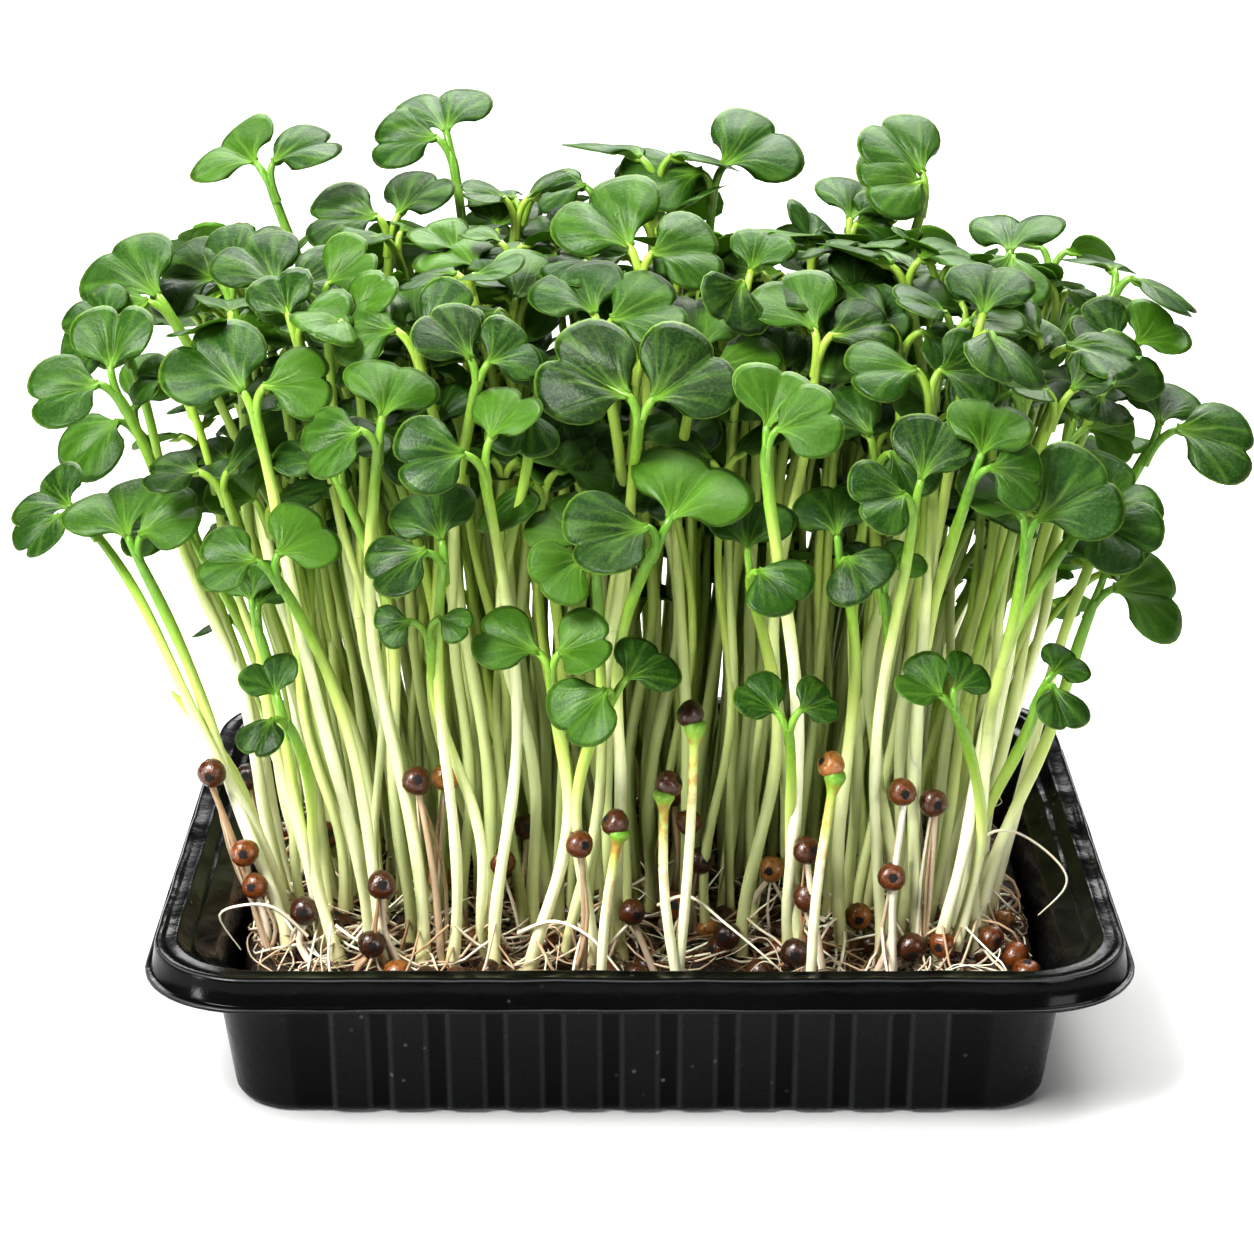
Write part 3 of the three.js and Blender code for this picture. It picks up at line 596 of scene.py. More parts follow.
def span(tree, value, low, high, to_low=0.0, to_high=1.0, kind="SMOOTHSTEP"):
    """Turns the range from `low` to `high` into the range from `to_low` to `to_high`."""
    inputs = {"Value": value, "From Min": low, "From Max": high, "To Min": to_low, "To Max": to_high}
    return put(tree, "ShaderNodeMapRange", inputs, interpolation_type=kind)


def geometry_tree(name, **named_inputs):
    """An empty Geometry Nodes tree, with its named inputs after the geometry."""
    tree = bpy.data.node_groups.new(name, "GeometryNodeTree")
    tree.interface.new_socket("Geometry", in_out="OUTPUT", socket_type="NodeSocketGeometry")
    sockets = {"geometry": "Geometry", **named_inputs, "material": "Material"}
    for label, kind in sockets.items():
        title = label.replace("_", " ").title()
        tree.interface.new_socket(title, in_out="INPUT", socket_type="NodeSocket" + kind)
    return tree, put(tree, "NodeGroupInput").outputs


def close_tree(tree, given, geometry):
    """The last steps of every tree: real geometry, with the material that was given."""
    whole = put(tree, "GeometryNodeRealizeInstances", {"Geometry": geometry})
    coated = put(tree, "GeometryNodeSetMaterial", {"Geometry": whole, "Material": given["Material"]})
    put(tree, "NodeGroupOutput", {"Geometry": coated})


def named(tree, name, data_type="FLOAT"):
    """Reads one attribute of the mesh."""
    return put(tree, "GeometryNodeInputNamedAttribute", {"Name": name}, data_type=data_type)


def along_vector(tree, vector, amount):
    return put(tree, "ShaderNodeVectorMath", {"Vector": vector, "Scale": amount}, operation="SCALE")


# %% Helpers that make pieces
def new_piece(name, points, edges=(), faces=(), attributes=None):
    """A mesh object from points in millimetres, with any attributes that its tree or finish reads."""
    mesh = bpy.data.meshes.new(name)
    points = np.asarray(points, float) * MM
    mesh.from_pydata(points.tolist(), np.asarray(edges).tolist(), [list(face) for face in faces])
    for label, values in (attributes or {}).items():
        values = np.asarray(values, float)
        kind, key = ("FLOAT", "value") if values.ndim == 1 else ("FLOAT_VECTOR", "vector")
        mesh.attributes.new(label, kind, "POINT").data.foreach_set(key, values.ravel())
    piece = bpy.data.objects.new(name, mesh)
    bpy.context.scene.collection.objects.link(piece)
    return piece


def stack_faces(rings, count):
    """The faces of a stack of rings with `count` points each, closed at both ends."""
    faces = []
    for ring in range(rings - 1):
        for i in range(count):
            a, b = ring * count + i, ring * count + (i + 1) % count
            faces.append((a, b, b + count, a + count))
    last = (rings - 1) * count
    return faces + [tuple(reversed(range(count))), tuple(range(last, last + count))]


def shade_smooth(piece):
    piece.data.polygons.foreach_set("use_smooth", [True] * len(piece.data.polygons))


def grow(piece, tree, **settings):
    """Runs a tree on a piece, and keeps the result as the piece's own plain mesh."""
    modifier = piece.modifiers.new(tree.name, "NODES")
    modifier.node_group = tree
    for item in tree.interface.items_tree:
        key = item.name.lower().replace(" ", "_")
        if item.in_out == "INPUT" and key in settings:
            modifier[item.identifier] = settings[key]
    piece.update_tag()
    bpy.context.view_layer.update()
    finished = piece.evaluated_get(bpy.context.evaluated_depsgraph_get())
    mesh = bpy.data.meshes.new_from_object(finished)
    piece.modifiers.clear()
    piece.data = mesh
    mesh.calc_loop_triangles()
    print(f"{piece.name}: {len(mesh.loop_triangles)} triangles")
    return piece


def join(pieces):
    """Makes one piece of several."""
    with bpy.context.temp_override(active_object=pieces[0], selected_editable_objects=pieces):
        bpy.ops.object.join()
    return pieces[0]


# %% [markdown]
# A tube follows its path with a radius of its own at every point. The path is a mesh of edges, because
# a mesh can carry any attribute, and the attributes travel through to the finished tube.

# %% A tree for tubes
def make_tube_tree():
    tree, given = geometry_tree("Tubes along paths", sides="Int")
    path = put(tree, "GeometryNodeMeshToCurve", {"Mesh": given["Geometry"]})
    ring = put(tree, "GeometryNodeCurvePrimitiveCircle", {"Resolution": given["Sides"], "Radius": 1.0})
    inputs = {"Curve": path, "Profile Curve": ring, "Scale": named(tree, "radius"), "Fill Caps": True}
    tube = put(tree, "GeometryNodeCurveToMesh", inputs)
    close_tree(tree, given, put(tree, "GeometryNodeSetShadeSmooth", {"Geometry": tube}))
    return tree


TUBES = make_tube_tree()


def tube_piece(name, paths, sides, material):
    """Paths are (points, radii, attributes) in millimetres; all of them become one piece."""
    points = np.concatenate([path[0] for path in paths])
    attributes = {"radius": np.concatenate([path[1] for path in paths]) * MM}
    for label in paths[0][2]:
        attributes[label] = np.concatenate([path[2][label] for path in paths])
    edges = []
    start = 0
    for path in paths:
        count = len(path[0])
        edges += [(start + i, start + i + 1) for i in range(count - 1)]
        start += count
    piece = new_piece(name, points, edges=edges, attributes=attributes)
    return grow(piece, TUBES, sides=sides, material=material)


# %% [markdown]
# Copies sit on points that carry a direction to lie along, a direction that faces up and a size. The
# last step bends every copy a little by a noise that runs through space, so that no two stay alike.

# %% A tree for copies
def make_copy_tree():
    tree, given = geometry_tree("Copies on points", forms="Collection", ripple="Float", ripple_scale="Float")
    inputs = {"Collection": given["Forms"], "Separate Children": True, "Reset Children": True}
    forms = put(tree, "GeometryNodeCollectionInfo", inputs)
    up = named(tree, "up", "FLOAT_VECTOR")
    inputs = {"Primary Axis": up, "Secondary Axis": named(tree, "along", "FLOAT_VECTOR")}
    turned = put(tree, "FunctionNodeAxesToRotation", inputs, primary_axis="Z", secondary_axis="X")
    inputs = {
        "Points": given["Geometry"],
        "Instance": forms,
        "Pick Instance": True,
        "Instance Index": named(tree, "form"),
        "Rotation": turned,
        "Scale": named(tree, "size", "FLOAT_VECTOR"),
    }
    copies = put(tree, "GeometryNodeInstanceOnPoints", inputs)
    whole = put(tree, "GeometryNodeRealizeInstances", {"Geometry": copies})
    place = put(tree, "GeometryNodeInputPosition")
    inputs = {"Vector": place, "Scale": given["Ripple Scale"], "Detail": 1.0}
    amount = times(tree, minus(tree, put(tree, "ShaderNodeTexNoise", inputs), 0.5), given["Ripple"])
    inputs = {"Geometry": whole, "Offset": along_vector(tree, up, amount)}
    close_tree(tree, given, put(tree, "GeometryNodeSetPosition", inputs))
    return tree


COPIES = make_copy_tree()


def copies_piece(name, places, forms, ripple, ripple_scale, material):
    """Places are namespaces with point, up, along, size, form and tone."""
    labels = ("up", "along", "size", "form", "tone")
    attributes = {label: np.array([getattr(place, label) for place in places], float) for label in labels}
    piece = new_piece(name, [place.point for place in places], attributes=attributes)
    settings = {"forms": forms, "ripple": ripple, "ripple_scale": ripple_scale, "material": material}
    return grow(piece, COPIES, **settings)


print("trees:", [tree.name for tree in bpy.data.node_groups])

# %% [markdown]
# ## The tray
#
# A punnet like this is thermoformed: a hot sheet is drawn into a mould, so it has one thickness, soft
# corners, a drawn rim and shallow ribs that stiffen the walls. Modelling it as a stack of rounded
# outlines follows how it is made: each outline is the tray cut at one height, and the list of
# heights and insets is the mould's section.

# %% The section of the mould
def wall_inset(z):
    share = min(z / WALL.top_z, 1)
    return WALL.foot_inset + share * (WALL.top_inset - WALL.foot_inset)


def arc(middle, radius, start, end, steps):
    """Points on a quarter round of the section, from one angle in degrees to another."""
    angles = np.radians(np.linspace(start, end, steps))
    return [(middle[0] + radius * math.cos(a), middle[1] + radius * math.sin(a)) for a in angles]


def tray_section():
    """(inset, height) pairs, from the middle of the floor's underside round to the floor's top."""
    foot, sheet = WALL.foot_radius, TRAY.sheet
    skirt_foot = TRAY.height - RIM.skirt_height
    edge_z = TRAY.height - RIM.edge_drop
    flat_inner = RIM.top_inset + RIM.top_width
    slope_inner = flat_inner + RIM.inner_slope
    under_floor = [(26, 0.7), (23, 0.6), (wall_inset(0) + foot + 2.6, 0.1)]
    outside = arc((wall_inset(0) + foot - 0.3, foot), foot, -90, -180, 6)
    outside += [(wall_inset(z), z) for z in (4.6, 7, 10, 14, 18, 21, 23.4)]
    outside += [(WALL.top_inset, WALL.top_z)]
    under_rim = [
        (slope_inner + sheet / 2 + 0.2, edge_z - sheet),
        (flat_inner + sheet / 2, TRAY.height - sheet),
        (RIM.top_inset + sheet + 0.2, TRAY.height - sheet),
        (RIM.top_inset + sheet, edge_z - sheet / 2),
        (RIM.lip_reach + sheet, skirt_foot + 0.1),
        (RIM.lip_reach + sheet - 0.2, skirt_foot),
    ]
    lip_top = skirt_foot + RIM.lip_height
    over_rim = [(0.18, skirt_foot), (0, skirt_foot + 0.12), (0, skirt_foot + 0.45)]
    over_rim += [(0.12, lip_top - 0.04), (0.4, lip_top), (RIM.lip_reach - 0.05, lip_top + 0.04)]
    over_rim += [(RIM.lip_reach + 0.1, lip_top + 0.22), (RIM.top_inset - 0.3, edge_z - 0.35)]
    over_rim += arc((RIM.top_inset + 0.55, edge_z + 0.45), 0.74, 172, 98, 5)
    over_rim += [(RIM.top_inset + 0.9, TRAY.height - 0.03), (RIM.top_inset + 1.3, TRAY.height - 0.16)]
    over_rim += [(RIM.top_inset + 1.7, TRAY.height - 0.2), (flat_inner - 0.7, TRAY.height - 0.2)]
    over_rim += [(flat_inner - 0.3, TRAY.height - 0.1), (flat_inner, TRAY.height - 0.06)]
    over_rim += [(flat_inner + 0.25, TRAY.height - 0.16), (flat_inner + 0.5, TRAY.height - 0.45)]
    over_rim += [(slope_inner - 0.25, edge_z - 0.15), (slope_inner + 0.05, edge_z - 0.36)]
    inner_wall = WALL.top_inset + sheet
    ledge_end = slope_inner + RIM.ledge_width
    ledge_z = TRAY.height - RIM.ledge_drop
    inside = [
        (slope_inner + 0.2, ledge_z + 0.25),
        (slope_inner + 0.5, ledge_z + 0.04),
        (ledge_end - 0.35, ledge_z),
        (ledge_end - 0.05, ledge_z - 0.1),
        (ledge_end + 0.15, ledge_z - 0.4),
        (inner_wall - 0.4, WALL.top_z + 0.9),
        (inner_wall, WALL.top_z - 0.3),
    ]
    inside += [(wall_inset(z) + sheet, z) for z in (20, 14, 8)]
    inside += [(wall_inset(foot + 1) + sheet, foot + 1.4), (wall_inset(0) + foot + 0.9, sheet)]
    inside += [(23, sheet + 0.5), (26, sheet + 0.7)]
    return under_floor + outside + under_rim + over_rim + inside


print("the mould's section has", len(tray_section()), "points")

# %% [markdown]
# The ribs are a rule, so nodes press them: every point of the wall knows how far it stands from the
# nearest rib's middle, and moves out along its wall by a smooth step of that distance. The same tree
# crumples the rim a little, because thin sheet never comes out of the mould quite flat.

# %% A tree that presses ribs and crumples the rim
NOISE_MIDDLE = (0.5, 0.5, 0.62)  # taken off the noise; a little more in z keeps the rim below its CAD top


def make_press_tree():
    tree, given = geometry_tree(
        "Press ribs",
        rib_width="Float",
        rib_bevel="Float",
        rib_height="Float",
        crumple="Float",
        crumple_scale="Float",
    )
    half = times(tree, given["Rib Width"], 0.5)
    inner = minus(tree, half, given["Rib Bevel"])
    outer = plus(tree, half, given["Rib Bevel"])
    rib = span(tree, named(tree, "from_rib"), outer, inner, 0.0, given["Rib Height"])
    height = times(tree, rib, named(tree, "wall"))
    pressed = along_vector(tree, named(tree, "outwards", "FLOAT_VECTOR"), height)
    place = put(tree, "GeometryNodeInputPosition")
    inputs = {"Vector": place, "Scale": given["Crumple Scale"], "Detail": 2.0}
    noise = put(tree, "ShaderNodeTexNoise", inputs).outputs["Color"]
    centred = put(tree, "ShaderNodeVectorMath", {0: noise, 1: NOISE_MIDDLE}, operation="SUBTRACT")
    crumpled = along_vector(tree, centred, times(tree, named(tree, "rim"), given["Crumple"]))
    offset = put(tree, "ShaderNodeVectorMath", {0: pressed, 1: crumpled}, operation="ADD")
    moved = put(tree, "GeometryNodeSetPosition", {"Geometry": given["Geometry"], "Offset": offset})
    close_tree(tree, given, put(tree, "GeometryNodeSetShadeSmooth", {"Geometry": moved}))
    return tree


# %% The tray's outlines
CORNER_POINTS = 14
# The two kinds of side: its points between two corners, and its ribs.
LONG_SIDE = SimpleNamespace(points=190, ribs=FLUTE.long_side)
SHORT_SIDE = SimpleNamespace(points=130, ribs=FLUTE.short_side)


def distance_from_rib(along, ribs):
    """How far a place on a wall is from the middle of its nearest rib, in metres."""
    middle = (ribs - 1) / 2
    number = np.clip(np.round(along / FLUTE.pitch + middle), 0, ribs - 1)
    return abs(along - (number - middle) * FLUTE.pitch) * MM


def tray_outline(inset):
    """A rounded oblong: its points, the way out at each, and the distance from the nearest rib."""
    radius = TRAY.corner - TRAY.shrink * inset
    middle_x = TRAY.half_width - inset - radius
    middle_y = TRAY.half_depth - inset - radius
    points, outwards, from_rib = [], [], []
    for corner, (side_x, side_y) in enumerate([(1, 1), (-1, 1), (-1, -1), (1, -1)]):
        for step in range(CORNER_POINTS + 1):
            angle = math.pi / 2 * (corner + step / CORNER_POINTS)
            out = (math.cos(angle), math.sin(angle), 0)
            points.append((side_x * middle_x + radius * out[0], side_y * middle_y + radius * out[1]))
            outwards.append(out)
            from_rib.append(1)
        if corner % 2 == 0:
            side, reach, half = LONG_SIDE, middle_x, TRAY.half_depth - inset
        else:
            side, reach, half = SHORT_SIDE, middle_y, TRAY.half_width - inset
        turn = math.pi / 2 * (corner + 1)
        out = (math.cos(turn), math.sin(turn), 0)
        for along in np.linspace(-reach, reach, side.points + 2)[1:-1]:
            points.append((out[0] * half - out[1] * along, out[1] * half + out[0] * along))
            outwards.append(out)
            from_rib.append(distance_from_rib(along, side.ribs))
    return np.array(points), np.array(outwards), np.array(from_rib)


# %% The tray
RIBS_FROM_Z = 0.5  # the ribs reach down to the foot's curve
# The rings near the rim's two edges are marked for the finish's painted highlight line.
HIGHLIGHT_REACH = 0.2  # how close to an edge of the rim a ring counts as part of it


def make_tray(material):
    section = tray_section()
    # The two edges that run round the rim, where the finish paints a highlight line: the top one and the
    # lip's.
    edge_z, lip_z = TRAY.height - RIM.edge_drop, TRAY.height - RIM.skirt_height + RIM.lip_height
    edges = [(RIM.top_inset + 0.03, edge_z + 0.97), (0.12, lip_z - 0.04)]
    under_rim_starts = next(i for i, (inset, z) in enumerate(section) if z > WALL.top_z)
    points, rings = [], {"outwards": [], "from_rib": [], "wall": [], "rim": [], "edge": []}
    for number, (inset, z) in enumerate(section):
        outline, outwards, from_rib = tray_outline(inset)
        points += [(x, y, z) for x, y in outline]
        rings["outwards"].append(outwards)
        rings["from_rib"].append(from_rib)
        marks = {
            "wall": number < under_rim_starts and RIBS_FROM_Z <= z < WALL.top_z - 1,
            "rim": z > WALL.top_z,
            "edge": min(math.dist((inset, z), place) for place in edges) < HIGHLIGHT_REACH,
        }
        for label, marked in marks.items():
            rings[label].append(np.full(len(outline), float(marked)))
    attributes = {label: np.concatenate(values) for label, values in rings.items()}
    faces = stack_faces(len(section), len(outline))
    tray = new_piece("tray_shell", points, faces=faces, attributes=attributes)
    return grow(
        tray,
        make_press_tree(),
        rib_width=FLUTE.width * MM,
        rib_bevel=0.5 * MM,
        rib_height=FLUTE.proud * MM,
        crumple=0.7 * MM,
        crumple_scale=65.0,
        material=material,
    )


# %% [markdown]
# ## The mat
#
# The mat is a pad of dark brown coir, cut to the tray and soaked, so its top is lumpy and its edge
# crumbles away from the wall. Rings of points, lifted by a sum of waves, give the lumps; loose fibres
# are tubes that wander over it.

# %% The mat's top
MAT = SimpleNamespace(low_z=2.4, top_z=18.4, half_width=67.0, half_depth=50.0, lumps=0.9)
SQUARENESS = 5  # the power that makes an ellipse into the mat's rounded oblong
EDGE_FALL = 1.6  # how far the bed falls off at its edge
rng = np.random.default_rng(41)
LUMPS = [(rng.uniform(0.1, 0.75), rng.uniform(0, 2 * math.pi), rng.uniform(0, 7)) for _ in range(26)]


def lumps(x, y):
    """A seeded sum of waves in all directions, from about -1 to 1."""
    total = 0
    for pace, turn, phase in LUMPS:
        total = total + np.sin(pace * (x * math.cos(turn) + y * math.sin(turn)) + phase)
    return total / math.sqrt(len(LUMPS) * 1.6)


def bed_reach(x, y):
    """0 in the middle of the bed, 1 at its edge, more outside it."""
    powers = np.abs(x / MAT.half_width) ** SQUARENESS + np.abs(y / MAT.half_depth) ** SQUARENESS
    return powers ** (1 / SQUARENESS)


def bed_height(x, y):
    """The height of the bed's surface, falling off towards the walls."""
    fall = EDGE_FALL * np.clip((bed_reach(x, y) - 0.93) / 0.07, 0, 1) ** 2
    return MAT.top_z + MAT.lumps * lumps(x, y) - fall


print("the bed's middle is", round(float(bed_height(0, 0)), 2), "mm up")


# %% The mat itself
AROUND = 120  # points round the mat
FLAT_RINGS = 34


def mat_outline(inset, z):
    """A rounded oblong with an edge that crumbles in and out."""
    points = []
    for i in range(AROUND):
        angle = 2 * math.pi * i / AROUND
        c, s = math.cos(angle), math.sin(angle)
        crumbs = 0.6 * math.sin(17 * angle) * math.sin(5 * angle + 1)
        reach = (1 - inset) / float(bed_reach(c, s)) + crumbs
        x, y = reach * c, reach * s
        points.append((x, y, z + MAT.lumps * float(lumps(x, y)) * (z > MAT.low_z)))
    return points


def make_mat(material):
    shares = [0, 0.008, 0.02, *np.linspace(0.04, 0.985, FLAT_RINGS)]
    drops = [3.4, 1.2, 0.4] + [0] * FLAT_RINGS
    rings = [mat_outline(0.06, MAT.low_z), mat_outline(0.03, MAT.low_z + 2)]
    rings += [mat_outline(share, MAT.top_z - drop) for share, drop in zip(shares, drops)]
    points = [point for ring in rings for point in ring]
    mat = new_piece("coir_mat", points, faces=stack_faces(len(rings), AROUND))
    mat.data.materials.append(material)
    shade_smooth(mat)
    print("coir_mat:", len(mat.data.polygons), "faces")
    return mat


# %% [markdown]
# Roots and fibres are both threads that wander over the bed. A thread turns a little at every step, and
# how much it turns changes slowly along it, which gives the smooth loose curls of a root.

# %% Threads that wander over the bed
def smooth_line(line, places):
    """Points on a smooth curve through all but the ends of a line. Place 0 is its second point."""
    first = np.clip(np.floor(places).astype(int), 0, len(line) - 4)
    share = (places - first)[:, None]
    a, b, c, d = (line[first + step] for step in range(4))
    bend = (2 * a - 5 * b + 4 * c - d) * share**2 + (3 * b - a - 3 * c + d) * share**3
    return 0.5 * (2 * b + (c - a) * share + bend)


def wander(rng, start, heading, length, steps, curl, lift):
    """A path over the bed. `lift` gives its height above the bed at even steps from start to end."""
    step = length / (steps - 1)
    turns = np.interp(np.linspace(0, 1, steps), np.linspace(0, 1, 5), rng.normal(0, curl, 5))
    angles = heading + np.cumsum(turns)
    x = start[0] + np.concatenate([[0], np.cumsum(np.cos(angles[:-1]) * step)])
    y = start[1] + np.concatenate([[0], np.cumsum(np.sin(angles[:-1]) * step)])
    reach = bed_reach(x, y)
    # A thread that meets the edge of the bed folds back over it.
    fold = np.where(reach > 1, np.clip(2 - reach, 0.3, 1) / np.maximum(reach, 1), 1)
    x, y = x * fold, y * fold
    for _ in range(2):
        # The fold's corner is rounded off.
        x[1:-1] = (x[:-2] + 2 * x[1:-1] + x[2:]) / 4
        y[1:-1] = (y[:-2] + 2 * y[1:-1] + y[2:]) / 4
    rise = smooth_through(np.array(lift)[:, None], steps)[:, 0]
    rise = rise + 0.3 * np.sin(np.linspace(0, 1, steps) * rng.uniform(6, 16) + rng.uniform(0, 6))
    return np.stack([x, y, bed_height(x, y) + rise], axis=1)


def smooth_through(points, steps):
    """A smooth path that starts and ends at the ends of a line of points."""
    line = np.array([points[0], *points, points[-1]], float)
    return smooth_line(line, np.linspace(0, len(points) - 1, steps))


def tapered(steps, radius, tip):
    return radius + (tip - radius) * np.linspace(0, 1, steps) ** 1.6


def bed_place(rng, inset=1):
    """A place on the bed by chance, at least `inset` from the box round the mat."""
    x = rng.uniform(inset - MAT.half_width, MAT.half_width - inset)
    y = rng.uniform(inset - MAT.half_depth, MAT.half_depth - inset)
    over = max(float(bed_reach(x, y)) / 0.96, 1)
    return x / over, y / over


def with_tone(points, radii, tone):
    return points, radii, {"tone": np.full(len(points), tone)}


# %% Fibres that stick out of the mat
FIBRES = 200


def make_fibres(material):
    rng = np.random.default_rng(5)
    steps = 7
    paths = []
    for _ in range(FIBRES):
        start, heading, length = bed_place(rng), rng.uniform(0, 7), rng.uniform(5, 18)
        points = wander(rng, start, heading, length, steps, 0.3, [0, 0.5, 0])
        paths.append(with_tone(points, tapered(steps, rng.uniform(0.1, 0.22), 0.06), rng.random()))
    return tube_piece("coir_fibres", paths, 3, material)


# %% The root felt
# Roots that stand well clear of the bed, given point by point: one loops over the right wall's ledge.
LOOSE_ROOTS = [
    [
        (54, -24, 27), (57, -24, 37), (61, -25, 39.6), (66, -26, 37.6), (70.6, -26, 33), (71, -26, 29.3),
        (67, -25, 24),
    ],
    [(-55, -33, 24), (-60, -35, 30), (-65, -36, 31), (-69, -36, 29), (-66, -34, 22)],
    [(3, -36, 31), (8, -39, 34), (14, -41, 30), (20, -42, 25), (25, -42, 20)],
    [(-20, -36, 26), (-14, -40, 30), (-8, -42, 28), (-3, -43, 22), (0, -43, 19)],
]
# The kinds of thread in the felt: thick ones that lie on the bed, arches that stand clear of it and fine
# hairs. Each height in `lift` is a number, or a range to draw from. Their tones make the low hairs darkest
# and the arches palest: partly the mat's stain, partly painted shade.
THICK = SimpleNamespace(
    count=130, lift=[(0, 1), (0.8, 3.4), (0.5, 3), (-0.4, 0.3)], lengths=(20, 56), radii=(0.14, 0.25),
    steps=24, curl=0.19, tip=0.09, tones=(0.15, 0.75),
)
ARCHES = SimpleNamespace(
    count=46, lift=[0, (2, 6), (4, 9), (2, 5), 0], lengths=(16, 40), radii=(0.12, 0.22),
    steps=24, curl=0.18, tip=0.08, tones=(0.7, 1),
)
HAIRS = SimpleNamespace(
    count=430, lift=[0, (0.2, 2.6), (0.2, 2.6), 0.1], lengths=(14, 38), radii=(0.05, 0.1),
    steps=13, curl=0.26, tip=0.04, tones=(0.02, 0.42),
)
print("the felt has", sum(kind.count for kind in (THICK, ARCHES, HAIRS)), "threads by chance")


def thread(rng, start, heading, length, lift, steps, curl, radius, tip, tones):
    points = wander(rng, start, heading, length, steps, curl, lift)
    return with_tone(points, tapered(steps, radius, tip), rng.uniform(*tones))


def felt_threads(rng, kind):
    threads = []
    for _ in range(kind.count):
        lift = [rng.uniform(*knot) if isinstance(knot, tuple) else knot for knot in kind.lift]
        length, radius = rng.uniform(*kind.lengths), rng.uniform(*kind.radii)
        turn = rng.uniform(0, 7)
        start = bed_place(rng)
        look = {"steps": kind.steps, "curl": kind.curl, "tip": kind.tip, "tones": kind.tones}
        threads.append(thread(rng, start, turn, length, lift, radius=radius, **look))
    return threads


def make_roots(material):
    rng = np.random.default_rng(12)
    thick = felt_threads(rng, THICK) + felt_threads(rng, ARCHES)
    fine = felt_threads(rng, HAIRS)
    for points in LOOSE_ROOTS:
        steps = 4 * len(points)
        thick.append(with_tone(smooth_through(points, steps), tapered(steps, 0.34, 0.14), 0.9))
    roots = tube_piece("root_threads", thick, 4, material)
    return join([roots, tube_piece("fine_threads", fine, 3, material)])


# %% [markdown]
# Each stem stands on a little crown of roots: the thickest threads leave the stem a few millimetres up,
# arch over and run into the felt.

# %% Roots that splay from each foot
CROWN = {"steps": 13, "curl": 0.22, "tip": 0.1}
BRANCH = {"steps": 11, "curl": 0.24, "radius": 0.11, "tip": 0.05, "tones": (0.1, 0.5)}
BRANCH_TURN = 0.8
BRANCH_SHARE = 0.6  # of its root's length


def make_crown_roots(name, plants, counts, heights, lengths, branches, tones, material):
    rng = np.random.default_rng(31)
    paths = []
    for plant in plants:
        first = rng.uniform(0, 7)
        count = int(rng.integers(*counts))
        for number in range(count):
            heading = first + 2 * math.pi * number / count + rng.uniform(-0.5, 0.5)
            high, length = rng.uniform(*heights), rng.uniform(*lengths)
            x, y, _ = stem_at(plant.foot, plant.meet, plant.tip, BED_Z + high)
            start = (x + 0.5 * math.cos(heading), y + 0.5 * math.sin(heading))
            # It leaves the stem, comes down in an arch and runs on through the felt.
            lift = [high + 1.2, high * 0.72, high * 0.36, 1.2, 0.7, 0.5, 0.2, 0]
            radius = rng.uniform(0.2, 0.34)
            root = thread(rng, start, heading, length, lift, radius=radius, tones=tones, **CROWN)
            paths.append(root)
            # Branches leave it anywhere but at its ends.
            for at in rng.choice(range(3, 11), branches, replace=False):
                x, y, z = root[0][at]
                side = heading + rng.choice([-BRANCH_TURN, BRANCH_TURN])
                low = z - float(bed_height(x, y))
                lift = [low, low * 0.5, 0.3, 0]
                paths.append(thread(rng, (x, y), side, length * BRANCH_SHARE, lift, **BRANCH))
    return tube_piece(name, paths, 4, material)


# %% [markdown]
# ## Seed hulls
#
# A radish seed is a ball about 4 mm across, a little flattened, with a dark scar where it hung in the
# pod. After sprouting, many split hulls stay on the bed or cling to the foot of a stem. Three forms
# are enough: whole, dented and split open. The copies turn any way, so they don't look alike.

# %% The forms of a hull
HULL_DENTS_AND_SPLITS = [(0.1, 0), (0.22, 0), (0.14, 0.3)]
SPLIT_FORM = 2  # the last one, whose split shows


def ball(rows, columns, form):
    """A closed ball whose poles are single points. `form` bends a unit direction into the hull."""
    points = [form(0.0, 0.0)]
    for row in range(1, rows):
        points += [form(math.pi * row / rows, 2 * math.pi * column / columns) for column in range(columns)]
    points.append(form(math.pi, 0.0))
    faces = []
    for column in range(columns):
        beside = (column + 1) % columns
        faces.append((0, 1 + column, 1 + beside))
        for row in range(rows - 2):
            a = 1 + row * columns
            faces.append((a + column, a + columns + column, a + columns + beside, a + beside))
        low = 1 + (rows - 2) * columns
        faces.append((low + column, len(points) - 1, low + beside))
    return np.array(points), faces


def hull_form(dent, split):
    """A hull with a dent round its scar at the top and a split round one side of its middle."""

    def form(polar, turn):
        x, y, z = math.sin(polar) * math.cos(turn), math.sin(polar) * math.sin(turn), math.cos(polar)
        dented = 1 - dent * math.exp(-((polar / 0.5) ** 2)) + 0.03 * math.sin(3 * turn + 2 * z)
        opened = 1 - split * math.exp(-((z / 0.16) ** 2)) * max(0, math.cos(turn))
        reach = HULLS.radius * dented * opened
        return (x * reach * 0.98, y * reach, z * reach * 0.88)

    return form


# %% A collection of forms
def make_forms(name, forms):
    """A collection of small forms for the copying tree. It is never linked to the scene."""
    group = bpy.data.collections.new(name)
    for number, (points, faces, attributes) in enumerate(forms):
        form = new_piece(f"{name}_{number:02d}", points, faces=faces, attributes=attributes)
        bpy.context.scene.collection.objects.unlink(form)
        shade_smooth(form)
        group.objects.link(form)
    return group


def hull_forms():
    forms = []
    for dent, split in HULL_DENTS_AND_SPLITS:
        points, faces = ball(9, 14, hull_form(dent, split))
        forms.append((points, faces, {"own": points / HULLS.radius}))
    return make_forms("hull", forms)


def any_turn(rng):
    up = rng.normal(size=3)
    along = rng.normal(size=3)
    return unit(up), unit(along)


